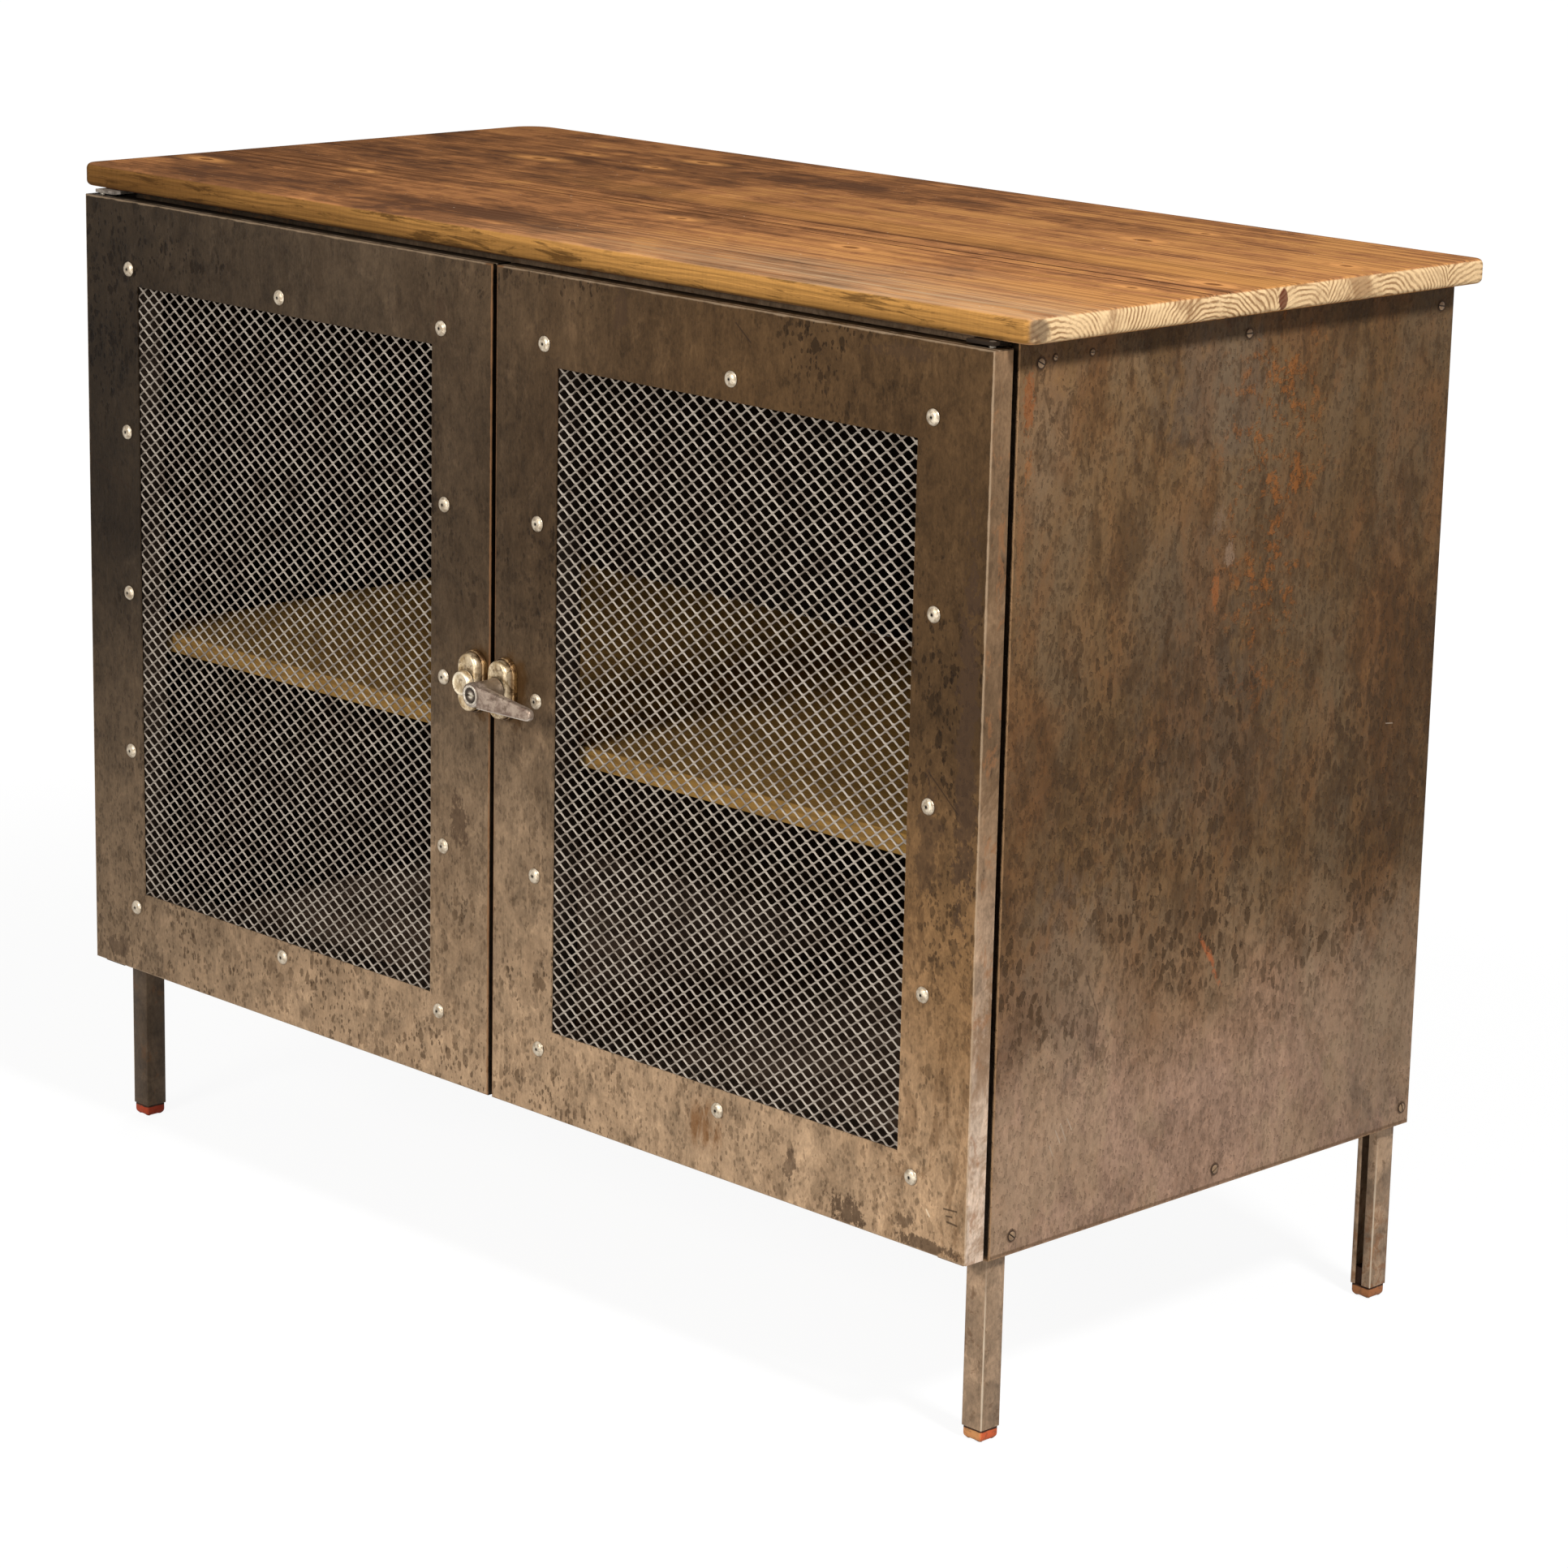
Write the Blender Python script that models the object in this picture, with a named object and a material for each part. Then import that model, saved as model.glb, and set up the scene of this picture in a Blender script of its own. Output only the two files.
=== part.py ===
"""Industrial steel cabinet: a welded post and rail frame with sheet panels, two mesh doors and a pine top.

Metres, +X to the right, +Y to the rear, +Z up. The floor is Z = 0, and X = 0 and Y = 0 are the middle of
the whole object. Depths below are measured from the doors' front face towards the rear, and heights from
the floor. Left and right are as someone in front of the cabinet sees them.
"""

import math

import bmesh
import bpy
from mathutils import Matrix, Vector

# Clearances
SEAT_GAP = 0.0003
RUNNING_GAP = 0.0003
DOOR_DROP_GAP = 0.0004

# Case
CASE_WIDTH = 1.000
CASE_DEPTH = 0.4685
CASE_FRONT = 0.0245
CASE_UNDERSIDE = 0.140
SHEET = 0.0012
FOLD_RADIUS = 0.0010
SIDE_FOLD = 0.0075
BACK_LIFT = 0.0015

# Posts, rails and feet
POST_SIZE = 0.019
POST_WALL = 0.0015
POST_SLOT = 0.0065
POST_INNER_LIP = 0.004
POST_INSET = 0.0065
RAIL_WALL = 0.0015
RAIL_RISE = 0.005
FOOT_HEIGHT = 0.009
FOOT_INSET = 0.0006
FOOT_CHAMFER = 0.0015
PLUG_DEPTH = 0.014

# Doors
DOOR_HEIGHT = 0.639
DOOR_FOLD = 0.0185
DOOR_SILL_STEP = 0.0025
DOOR_HEAD_GAP = 0.0045
MEETING_GAP = 0.005
WINDOW_MARGIN = 0.0675

# Pivots
PIVOT_FROM_SIDE = 0.011
PIVOT_FROM_FACE = 0.010
PIVOT_PIN_RADIUS = 0.0025
PIVOT_HEAD_RADIUS = 0.0045
PIVOT_HEAD_HEIGHT = 0.003
PLATE_THICKNESS = 0.0025
PLATE_LENGTH = 0.031
PLATE_EDGE = 0.0045
PLATE_NOTCH_GAP = 0.0035

# Mesh and its clamp
MESH_THICKNESS = 0.0014
MESH_BORDER = 0.008
MESH_LAND = 0.002
MESH_COLUMNS = 7
MESH_ROWS = 12
MESH_STRAND = 0.003
CLAMP_FLANGE = 0.025
CLAMP_DEPTH = 0.0225
CLAMP_WALL = 0.002

# Rivets
RIVETS_PER_SIDE = 5
RIVET_CORNER_ACROSS = {"left": 0.0105, "right": 0.0140}
RIVET_SIDE_ACROSS = {"left": 0.0150, "right": 0.0200}
RIVET_ROW_BEYOND = {"left": 0.0130, "right": 0.0160}
RIVET_RADIUS = 0.002
RIVET_HEAD_RADIUS = 0.006
RIVET_HEAD_HEIGHT = 0.0026
RIVET_TAIL_RADIUS = 0.0032
RIVET_TAIL_LENGTH = 0.003
RIVET_SIDES = 10

# Latch
LATCH_HEIGHT = 0.466
LATCH_FROM_MIDDLE = 0.0170
ROSETTE_WIDTH = 0.0245
ROSETTE_HEIGHT = 0.0480
ROSETTE_FLANGE = 0.004
ROSETTE_STEP = 0.002
ROSETTE_DEPTH = 0.011
ROSETTE_ROUND = 0.0025
BOSS_RADIUS = 0.0096
BOSS_LENGTH = 0.0055
BOSS_CHAMFER = 0.0012
LEVER_FRONT = 0.0367
LEVER_THICKNESS = 0.009
LEVER_LENGTH = 0.0645
LEVER_HUB_RADIUS = 0.0095
LEVER_TIP_RADIUS = 0.0045
LEVER_DROOP = math.radians(4.0)
LEVER_EDGE = 0.0012
BARREL_RADIUS = 0.0090
BARREL_FLARE = 0.0105
EYE_RADIUS = 0.0062
EYE_DEPTH = 0.004
SPINDLE_RADIUS = 0.004
SPINDLE_TAIL = 0.029
LEVER_WEB = 0.004
SCREW_RADIUS = 0.0022
SCREW_HEAD_RADIUS = 0.0054
SCREW_HEAD_HEIGHT = 0.0028
SCREW_SLOT = 0.0014
SCREW_SLOT_DEPTH = 0.0012
SCREW_REACH = 0.010
CAM_BEHIND_FOLD = 0.0015
CAM_THICKNESS = 0.003
CAM_HUB_RADIUS = 0.009
CAM_TIP_RADIUS = 0.006
CAM_LENGTH = 0.040
NUT_RADIUS = 0.007
NUT_HEIGHT = 0.0045

# Timber
TOP_THICKNESS = 0.018
TOP_SIDE_OVERHANG = 0.022
TOP_FRONT_SETBACK = 0.011
TOP_REAR_OVERHANG = 0.010
TOP_CORNER_RADII = {"front_left": 0.014, "front_right": 0.009, "rear_left": 0.028, "rear_right": 0.011}
TOP_EDGE_ROUND = 0.0045
SHELF_TOP = 0.426
SHELF_THICKNESS = 0.016
SHELF_SETBACK = 0.002
CLEAT_WIDTH = 0.020
CLEAT_WALL = 0.002

# Facets on round pieces
ROUND_SIDES = 24
HOLE_SIDES = 16

# Places worked out from the sizes
HALF_WIDTH = CASE_WIDTH / 2
TOP_UNDERSIDE = CASE_UNDERSIDE + DOOR_SILL_STEP + DOOR_HEIGHT + DOOR_HEAD_GAP
TOP_REAR = CASE_FRONT + CASE_DEPTH + TOP_REAR_OVERHANG
FACE_Y = -(TOP_REAR - LEVER_FRONT) / 2
CASE_REAR = CASE_FRONT + CASE_DEPTH
POST_SIDE = SIDE_FOLD + SEAT_GAP
POST_FRONT = CASE_FRONT + POST_INSET
POST_REAR = CASE_REAR - POST_INSET
FRAME_TOP = TOP_UNDERSIDE - SEAT_GAP
RAIL_BOTTOM = CASE_UNDERSIDE + RAIL_RISE
DOOR_BOTTOM = CASE_UNDERSIDE + DOOR_SILL_STEP
DOOR_TOP = DOOR_BOTTOM + DOOR_HEIGHT
DOOR_INNER = MEETING_GAP / 2
MESH_FRONT = SHEET + SEAT_GAP
CLAMP_FRONT = MESH_FRONT + MESH_THICKNESS + SEAT_GAP
CAM_FRONT = DOOR_FOLD + CAM_BEHIND_FOLD
SPINDLE_FRONT = -LEVER_FRONT + EYE_DEPTH + LEVER_WEB + SEAT_GAP

STEEL = (0.135, 0.105, 0.078)
SIDE_STEEL = (0.150, 0.112, 0.080)
POST_STEEL = (0.190, 0.150, 0.115)
DARK_STEEL = (0.060, 0.048, 0.040)
ZINC = (0.560, 0.540, 0.500)
BRASS = (0.370, 0.270, 0.150)
LEVER_METAL = (0.330, 0.260, 0.220)
STAINED_PINE = (0.260, 0.130, 0.050)
RAW_PINE = (0.560, 0.360, 0.150)
FOOT_ORANGE = (0.520, 0.130, 0.050)


def clear_scene():
    for thing in list(bpy.data.objects):
        bpy.data.objects.remove(thing, do_unlink=True)


def make_material(name, colour, roughness, metallic):
    material = bpy.data.materials.new(name)
    material.use_nodes = True
    shader = material.node_tree.nodes["Principled BSDF"]
    shader.inputs["Base Color"].default_value = (*colour, 1.0)
    shader.inputs["Roughness"].default_value = roughness
    shader.inputs["Metallic"].default_value = metallic
    material.diffuse_color = (*colour, 1.0)
    return material


def place(side, from_side, depth, height):
    """A point given from the outer side of the case, the doors' face and the floor."""
    sign = -1 if side == "left" else 1
    return Vector((sign * (HALF_WIDTH - from_side), FACE_Y + depth, height))


def add_axis(name, location, parent=None):
    """An empty that its pieces turn about."""
    axis = bpy.data.objects.new(name, None)
    bpy.context.scene.collection.objects.link(axis)
    if parent:
        axis.parent = parent
        axis.matrix_parent_inverse = Matrix.Translation(-parent.location)
    axis.location = location
    return axis


def add_piece(name, shape, finish, parent, smooth=False):
    """Make a shape, drawn in world coordinates, a named piece that is carried by an empty."""
    colour, roughness, metallic = finish
    bmesh.ops.recalc_face_normals(shape, faces=shape.faces)
    mesh = bpy.data.meshes.new(name)
    shape.to_mesh(mesh)
    shape.free()
    mesh.materials.append(make_material(name, colour, roughness, metallic))
    if smooth:
        mesh.shade_smooth()
        mesh.set_sharp_from_angle(angle=math.radians(35))
    piece = bpy.data.objects.new(name, mesh)
    bpy.context.scene.collection.objects.link(piece)
    piece.parent = parent
    piece.matrix_parent_inverse = Matrix.Translation(-parent.matrix_basis.translation)
    return piece


def add_tool(name, shape):
    """A shape that cuts or joins a piece and isn't one itself."""
    bmesh.ops.recalc_face_normals(shape, faces=shape.faces)
    mesh = bpy.data.meshes.new(name)
    shape.to_mesh(mesh)
    shape.free()
    tool = bpy.data.objects.new(name, mesh)
    bpy.context.scene.collection.objects.link(tool)
    tool.hide_render = True
    tool.display_type = "WIRE"
    return tool


def combine(piece, shape, operation, name):
    modifier = piece.modifiers.new(name, "BOOLEAN")
    modifier.operation = operation
    modifier.solver = "EXACT"
    modifier.object = add_tool(piece.name + "_" + name, shape)


def bevel_edges(shape, edges, width, segments):
    bmesh.ops.bevel(shape, geom=list(edges), offset=width, segments=segments, profile=0.5,
                    affect="EDGES", material=-1)


def add_box(shape, low, high):
    low = Vector(low)
    high = Vector(high)
    size = Matrix.Diagonal((*(high - low), 1.0))
    made = bmesh.ops.create_cube(shape, size=1.0, matrix=Matrix.Translation((low + high) / 2) @ size)
    return made["verts"]


def box_shape(low, high):
    shape = bmesh.new()
    add_box(shape, [min(pair) for pair in zip(low, high)], [max(pair) for pair in zip(low, high)])
    return shape


def add_prism(shape, outline, start, end, axis):
    """Extrude a flat outline along an axis: its pairs are (Y, Z), (X, Z) or (X, Y) for X, Y or Z."""
    order = {"X": (2, 0, 1), "Y": (0, 2, 1), "Z": (0, 1, 2)}[axis]
    corners = []
    for first, second in outline:
        values = (first, second, start)
        corners.append(shape.verts.new([values[index] for index in order]))
    face = shape.faces.new(corners)
    made = bmesh.ops.extrude_face_region(shape, geom=[face])
    far = [item for item in made["geom"] if isinstance(item, bmesh.types.BMVert)]
    step = [(0, 0, end - start)[index] for index in order]
    bmesh.ops.translate(shape, verts=far, vec=step)


def prism_shape(outline, start, end, axis):
    shape = bmesh.new()
    add_prism(shape, outline, start, end, axis)
    return shape


def circle(x, z, radius, sides):
    turn = 2 * math.pi / sides
    return [(x + radius * math.cos(turn * n), z + radius * math.sin(turn * n)) for n in range(sides)]


def link_outline(x, z, hub, tip, length, heading, steps=8):
    """Two circles of unlike radius and the straight sides that touch both, as a lever or a cam has."""
    spread = math.acos((hub - tip) / length)
    arcs = (
        (x, z, hub, spread, 2 * math.pi - spread),
        (x + length * math.cos(heading), z + length * math.sin(heading), tip, -spread, spread),
    )
    outline = []
    for centre_x, centre_z, radius, start, end in arcs:
        for step in range(steps + 1):
            angle = heading + start + (end - start) * step / steps
            outline.append((centre_x + radius * math.cos(angle), centre_z + radius * math.sin(angle)))
    return outline


def add_turned(shape, x, z, profile, sides):
    """Turn a profile of (radius, depth) pairs about a line along Y. It starts and ends on that line."""
    points = [shape.verts.new((x + radius, FACE_Y + depth, z)) for radius, depth in profile]
    edges = [shape.edges.new(pair) for pair in zip(points, points[1:])]
    bmesh.ops.spin(shape, geom=points + edges, cent=(x, 0, z), axis=(0, 1, 0), angle=2 * math.pi,
                   steps=sides, use_merge=True)
    bmesh.ops.remove_doubles(shape, verts=shape.verts, dist=1e-6)


def turned_shape(x, z, profile, sides=ROUND_SIDES):
    shape = bmesh.new()
    add_turned(shape, x, z, profile, sides)
    return shape


def rod_profile(radius, start, end):
    return [(0, start), (radius, start), (radius, end), (0, end)]


def stadium(half_width, half_height, steps=8):
    """An upright oval with straight sides and half-round ends."""
    rise = half_height - half_width
    points = []
    for centre, first in ((rise, 0), (-rise, math.pi)):
        for step in range(steps + 1):
            angle = first + math.pi * step / steps
            points.append((half_width * math.cos(angle), centre + half_width * math.sin(angle)))
    return points


def add_stack(shape, x, z, sections):
    """Skin over upright ovals at growing depth; each section is (depth, half width, half height)."""
    rings = []
    for depth, half_width, half_height in sections:
        ring = [shape.verts.new((x + dx, FACE_Y + depth, z + dz)) for dx, dz in stadium(half_width, half_height)]
        rings.append(ring)
    for near, far in zip(rings, rings[1:]):
        for index, corner in enumerate(near):
            shape.faces.new((near[index - 1], corner, far[index], far[index - 1]))
    shape.faces.new(rings[0])
    shape.faces.new(rings[-1])


def post_outline(x, y, outward, slot_side):
    """A square lipped section. The slot faces slot_side along Y, nearer to the cabinet's middle."""
    half = POST_SIZE / 2
    inside = half - POST_WALL
    slot_inner = -half + POST_INNER_LIP
    slot_outer = slot_inner + POST_SLOT
    local = [
        (slot_inner, half), (-half, half), (-half, -half), (half, -half), (half, half), (slot_outer, half),
        (slot_outer, inside), (inside, inside), (inside, -inside), (-inside, -inside), (-inside, inside),
        (slot_inner, inside),
    ]
    return [(x + outward * across, y + slot_side * along) for across, along in local]


def square_tube(axis, start, end, first, second, size, wall):
    """A square tube along an axis, open at both ends; first and second are its low corner across it."""
    shape = bmesh.new()
    outer = [(first, second), (first + size, second), (first + size, second + size), (first, second + size)]
    low = wall
    high = size - wall
    inner = [(first + a, second + b) for a, b in ((low, low), (high, low), (high, high), (low, high))]
    order = {"X": (2, 0, 1), "Y": (0, 2, 1)}[axis]
    rings = []
    for outline, position in ((outer, start), (outer, end), (inner, end), (inner, start)):
        ring = []
        for pair in outline:
            values = (*pair, position)
            ring.append(shape.verts.new([values[index] for index in order]))
        rings.append(ring)
    for ring, following in zip(rings, rings[1:] + rings[:1]):
        for index in range(4):
            shape.faces.new((ring[index - 1], ring[index], following[index], following[index - 1]))
    return shape


def make_frame(case):
    steel = (POST_STEEL, 0.55, 0.75)
    for side, outward in (("left", -1), ("right", 1)):
        for end, slot_side, depth in (("front", 1, POST_FRONT), ("rear", -1, POST_REAR - POST_SIZE)):
            centre = place(side, POST_SIDE + POST_SIZE / 2, depth + POST_SIZE / 2, 0)
            outline = post_outline(centre.x, centre.y, outward, slot_side)
            shape = prism_shape(outline, FOOT_HEIGHT + SEAT_GAP, FRAME_TOP, "Z")
            add_piece(end + "_" + side + "_post", shape, steel, case)
            make_foot(end + "_" + side + "_foot", centre, case)
    inner_x = HALF_WIDTH - POST_SIDE - POST_SIZE - SEAT_GAP
    front_y = FACE_Y + POST_FRONT
    rear_y = FACE_Y + POST_REAR - POST_SIZE
    tube = (POST_SIZE, RAIL_WALL)
    for level, height in (("bottom", RAIL_BOTTOM), ("top", FRAME_TOP - POST_SIZE)):
        for end, y in (("front", front_y), ("rear", rear_y)):
            shape = square_tube("X", -inner_x, inner_x, y, height, *tube)
            add_piece(end + "_" + level + "_rail", shape, steel, case)
        for side in ("left", "right"):
            low_x = min(place(side, POST_SIDE, 0, 0).x, place(side, POST_SIDE + POST_SIZE, 0, 0).x)
            shape = square_tube("Y", front_y + POST_SIZE + SEAT_GAP, rear_y - SEAT_GAP, low_x, height, *tube)
            add_piece(side + "_" + level + "_rail", shape, steel, case)


def make_foot(name, centre, case):
    """A moulded cap under the post with a plug that fits inside it."""
    half = POST_SIZE / 2 - FOOT_INSET
    shape = box_shape((centre.x - half, centre.y - half, 0), (centre.x + half, centre.y + half, FOOT_HEIGHT))
    top = max(shape.faces, key=lambda face: face.calc_center_median().z)
    plug_half = POST_SIZE / 2 - POST_WALL - SEAT_GAP
    bmesh.ops.inset_region(shape, faces=[top], thickness=half - plug_half, use_even_offset=True)
    made = bmesh.ops.extrude_face_region(shape, geom=[top])
    raised = [item for item in made["geom"] if isinstance(item, bmesh.types.BMVert)]
    bmesh.ops.translate(shape, verts=raised, vec=(0, 0, PLUG_DEPTH))
    shape.faces.remove(top)
    bottom = [edge for edge in shape.edges if all(vert.co.z < FOOT_CHAMFER / 2 for vert in edge.verts)]
    bevel_edges(shape, bottom, FOOT_CHAMFER, 1)
    add_piece(name, shape, (FOOT_ORANGE, 0.6, 0.0), case)


def make_panels(case):
    for side in ("left", "right"):
        skin = place(side, 0, CASE_FRONT, CASE_UNDERSIDE)
        inside = place(side, SIDE_FOLD, CASE_REAR, FRAME_TOP)
        shape = box_shape(skin, inside)
        rim = [edge for edge in shape.edges if all(abs(vert.co.x - skin.x) < SHEET / 2 for vert in edge.verts)]
        bevel_edges(shape, rim, FOLD_RADIUS, 2)
        panel = add_piece(side + "_panel", shape, (SIDE_STEEL, 0.5, 0.6), case)
        hollow_low = place(side, SHEET, CASE_FRONT + SHEET, CASE_UNDERSIDE + SHEET)
        hollow_high = place(side, 2 * SIDE_FOLD, CASE_REAR - SHEET, FRAME_TOP - SHEET)
        combine(panel, box_shape(hollow_low, hollow_high), "DIFFERENCE", "hollow")
    low = place("left", POST_SIDE, POST_REAR + SEAT_GAP, CASE_UNDERSIDE + BACK_LIFT)
    high = place("right", POST_SIDE, POST_REAR + SEAT_GAP + SHEET, FRAME_TOP)
    add_piece("back_panel", box_shape(low, high), (DARK_STEEL, 0.6, 0.5), case)
    make_floor(case)


def make_floor(case):
    """A sheet on the bottom rails, notched at its corners for the posts."""
    reach = HALF_WIDTH - POST_SIDE
    notch = POST_SIZE + SEAT_GAP
    front = FACE_Y + POST_FRONT
    rear = FACE_Y + POST_REAR
    outline = [
        (-reach + notch, front), (reach - notch, front), (reach - notch, front + notch), (reach, front + notch),
        (reach, rear - notch), (reach - notch, rear - notch), (reach - notch, rear), (-reach + notch, rear),
        (-reach + notch, rear - notch), (-reach, rear - notch), (-reach, front + notch),
        (-reach + notch, front + notch),
    ]
    bottom = RAIL_BOTTOM + POST_SIZE + SEAT_GAP
    add_piece("floor_panel", prism_shape(outline, bottom, bottom + SHEET, "Z"), (DARK_STEEL, 0.6, 0.5), case)


def make_timber(case):
    left = -HALF_WIDTH - TOP_SIDE_OVERHANG
    right = HALF_WIDTH + TOP_SIDE_OVERHANG
    low = (left, FACE_Y + TOP_FRONT_SETBACK, TOP_UNDERSIDE)
    high = (right, FACE_Y + TOP_REAR, TOP_UNDERSIDE + TOP_THICKNESS)
    shape = box_shape(low, high)
    for corner, radius in TOP_CORNER_RADII.items():
        x = left if "left" in corner else right
        y = low[1] if "front" in corner else high[1]
        upright = [edge for edge in shape.edges if all((vert.co.xy - Vector((x, y))).length < SEAT_GAP
                                                       for vert in edge.verts)]
        bevel_edges(shape, upright, radius, 5)
    flats = [face for face in shape.faces if abs(face.normal.z) > 0.9]
    rim = {edge for face in flats for edge in face.edges}
    bevel_edges(shape, rim, TOP_EDGE_ROUND, 3)
    add_piece("pine_top", shape, (STAINED_PINE, 0.5, 0.0), case, smooth=True)

    half = HALF_WIDTH - POST_SIDE - POST_SIZE - SEAT_GAP
    low = (-half, FACE_Y + POST_FRONT + SHELF_SETBACK, SHELF_TOP - SHELF_THICKNESS)
    high = (half, FACE_Y + POST_REAR - SEAT_GAP, SHELF_TOP)
    add_piece("shelf", box_shape(low, high), (RAW_PINE, 0.6, 0.0), case)

    cleat_top = SHELF_TOP - SHELF_THICKNESS - SEAT_GAP
    for side, outward in (("left", -1), ("right", 1)):
        outer = outward * half
        inner = outer - outward * CLEAT_WIDTH
        wall = outer - outward * CLEAT_WALL
        angle = [
            (outer, cleat_top), (inner, cleat_top), (inner, cleat_top - CLEAT_WALL), (wall, cleat_top - CLEAT_WALL),
            (wall, cleat_top - CLEAT_WIDTH), (outer, cleat_top - CLEAT_WIDTH),
        ]
        shape = prism_shape(angle, low[1], high[1], "Y")
        add_piece(side + "_shelf_cleat", shape, (DARK_STEEL, 0.6, 0.6), case)


def make_pivot_plates(case):
    """Tabs welded to the front posts, above and below each door, with a hole for its pin."""
    for side in ("left", "right"):
        pin = place(side, PIVOT_FROM_SIDE, PIVOT_FROM_FACE, 0)
        front = PIVOT_FROM_FACE - PLATE_EDGE
        back = POST_FRONT - SEAT_GAP
        notch = CASE_FRONT - PLATE_NOTCH_GAP
        side_edge = PIVOT_FROM_SIDE - PLATE_EDGE
        corners = [
            (side_edge, front), (PLATE_LENGTH, front), (PLATE_LENGTH, back), (POST_SIDE, back), (POST_SIDE, notch),
            (side_edge, notch),
        ]
        outline = [place(side, across, depth, 0).xy for across, depth in corners]
        for level, bottom in (
            ("top", FRAME_TOP - PLATE_THICKNESS),
            ("bottom", DOOR_BOTTOM - DOOR_DROP_GAP - PLATE_THICKNESS),
        ):
            shape = prism_shape(outline, bottom, bottom + PLATE_THICKNESS, "Z")
            plate = add_piece(side + "_" + level + "_pivot_plate", shape, (POST_STEEL, 0.5, 0.7), case)
            hole = circle(pin.x, pin.y, PIVOT_PIN_RADIUS + RUNNING_GAP, HOLE_SIDES)
            cutter = prism_shape(hole, bottom - PLATE_THICKNESS, bottom + 2 * PLATE_THICKNESS, "Z")
            combine(plate, cutter, "DIFFERENCE", "pin_hole")


def make_pivot_pins(side, axis):
    """Headed pins that sit in the door's folds and turn in the plates' holes."""
    pin = place(side, PIVOT_FROM_SIDE, PIVOT_FROM_FACE, 0)
    upper_end = FRAME_TOP
    lower_end = DOOR_BOTTOM - DOOR_DROP_GAP - PLATE_THICKNESS
    for level, seat, end, inward in (
        ("top", DOOR_TOP - SHEET - SEAT_GAP, upper_end, -1),
        ("bottom", DOOR_BOTTOM + SHEET + SEAT_GAP, lower_end, 1),
    ):
        shape = bmesh.new()
        back = seat + inward * PIVOT_HEAD_HEIGHT
        profile = [(0, end), (PIVOT_PIN_RADIUS, end), (PIVOT_PIN_RADIUS, seat), (PIVOT_HEAD_RADIUS, seat),
                   (PIVOT_HEAD_RADIUS, back), (0, back)]
        points = [shape.verts.new((pin.x + radius, pin.y, height)) for radius, height in profile]
        edges = [shape.edges.new(pair) for pair in zip(points, points[1:])]
        bmesh.ops.spin(shape, geom=points + edges, cent=pin, axis=(0, 0, 1), angle=2 * math.pi,
                       steps=HOLE_SIDES, use_merge=True)
        bmesh.ops.remove_doubles(shape, verts=shape.verts, dist=1e-6)
        add_piece(side + "_door_" + level + "_pin", shape, (ZINC, 0.35, 0.9), axis, smooth=True)


def window_box(side):
    """The window's low and high corners in X and Z."""
    outer = place(side, WINDOW_MARGIN, 0, 0).x
    inner = place(side, HALF_WIDTH - DOOR_INNER - WINDOW_MARGIN, 0, 0).x
    return min(outer, inner), max(outer, inner), DOOR_BOTTOM + WINDOW_MARGIN, DOOR_TOP - WINDOW_MARGIN


def rivet_places(side):
    """Five rivets up each side of the window, those at its corners drawn in, and one in the middle of its top and
    bottom."""
    left, right, bottom, top = window_box(side)
    low = bottom - RIVET_ROW_BEYOND[side]
    high = top + RIVET_ROW_BEYOND[side]
    step = (high - low) / (RIVETS_PER_SIDE - 1)
    middle = (left + right) / 2
    places = [(middle, low), (middle, high)]
    for n in range(RIVETS_PER_SIDE):
        at_corner = n in (0, RIVETS_PER_SIDE - 1)
        across = RIVET_CORNER_ACROSS[side] if at_corner else RIVET_SIDE_ACROSS[side]
        places += [(left - across, low + step * n), (right + across, low + step * n)]
    return places


def make_door(side, axis):
    left, right, bottom, top = window_box(side)
    outer_low = place(side, 0, 0, DOOR_BOTTOM)
    inner_high = place(side, HALF_WIDTH - DOOR_INNER, DOOR_FOLD, DOOR_TOP)
    shape = box_shape(outer_low, inner_high)
    rim = [edge for edge in shape.edges if all(abs(vert.co.y - FACE_Y) < SHEET / 2 for vert in edge.verts)]
    bevel_edges(shape, rim, FOLD_RADIUS, 2)
    skin = add_piece(side + "_door_skin", shape, (STEEL, 0.45, 0.7), axis)
    hollow_low = place(side, SHEET, SHEET, DOOR_BOTTOM + SHEET)
    hollow_high = place(side, HALF_WIDTH - DOOR_INNER - SHEET, 2 * DOOR_FOLD, DOOR_TOP - SHEET)
    combine(skin, box_shape(hollow_low, hollow_high), "DIFFERENCE", "hollow")

    openings = box_shape((left, FACE_Y - DOOR_FOLD, bottom), (right, FACE_Y + DOOR_FOLD, top))
    for x, z in rivet_places(side):
        hole = circle(x, z, RIVET_RADIUS + SEAT_GAP, RIVET_SIDES)
        add_prism(openings, hole, FACE_Y - SHEET, FACE_Y + 2 * SHEET, "Y")
    pin = place(side, PIVOT_FROM_SIDE, PIVOT_FROM_FACE, 0)
    pin_hole = circle(pin.x, pin.y, PIVOT_PIN_RADIUS + SEAT_GAP, HOLE_SIDES)
    for edge in (DOOR_BOTTOM, DOOR_TOP):
        add_prism(openings, pin_hole, edge - 2 * SHEET, edge + 2 * SHEET, "Z")
    if side == "right":
        spindle_hole = circle(LATCH_FROM_MIDDLE, LATCH_HEIGHT, SPINDLE_RADIUS + RUNNING_GAP, HOLE_SIDES)
        add_prism(openings, spindle_hole, FACE_Y - SHEET, FACE_Y + 2 * SHEET, "Y")
    combine(skin, openings, "DIFFERENCE", "openings")
    make_mesh(side, axis)
    make_clamp(side, axis)
    make_pivot_pins(side, axis)


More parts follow.
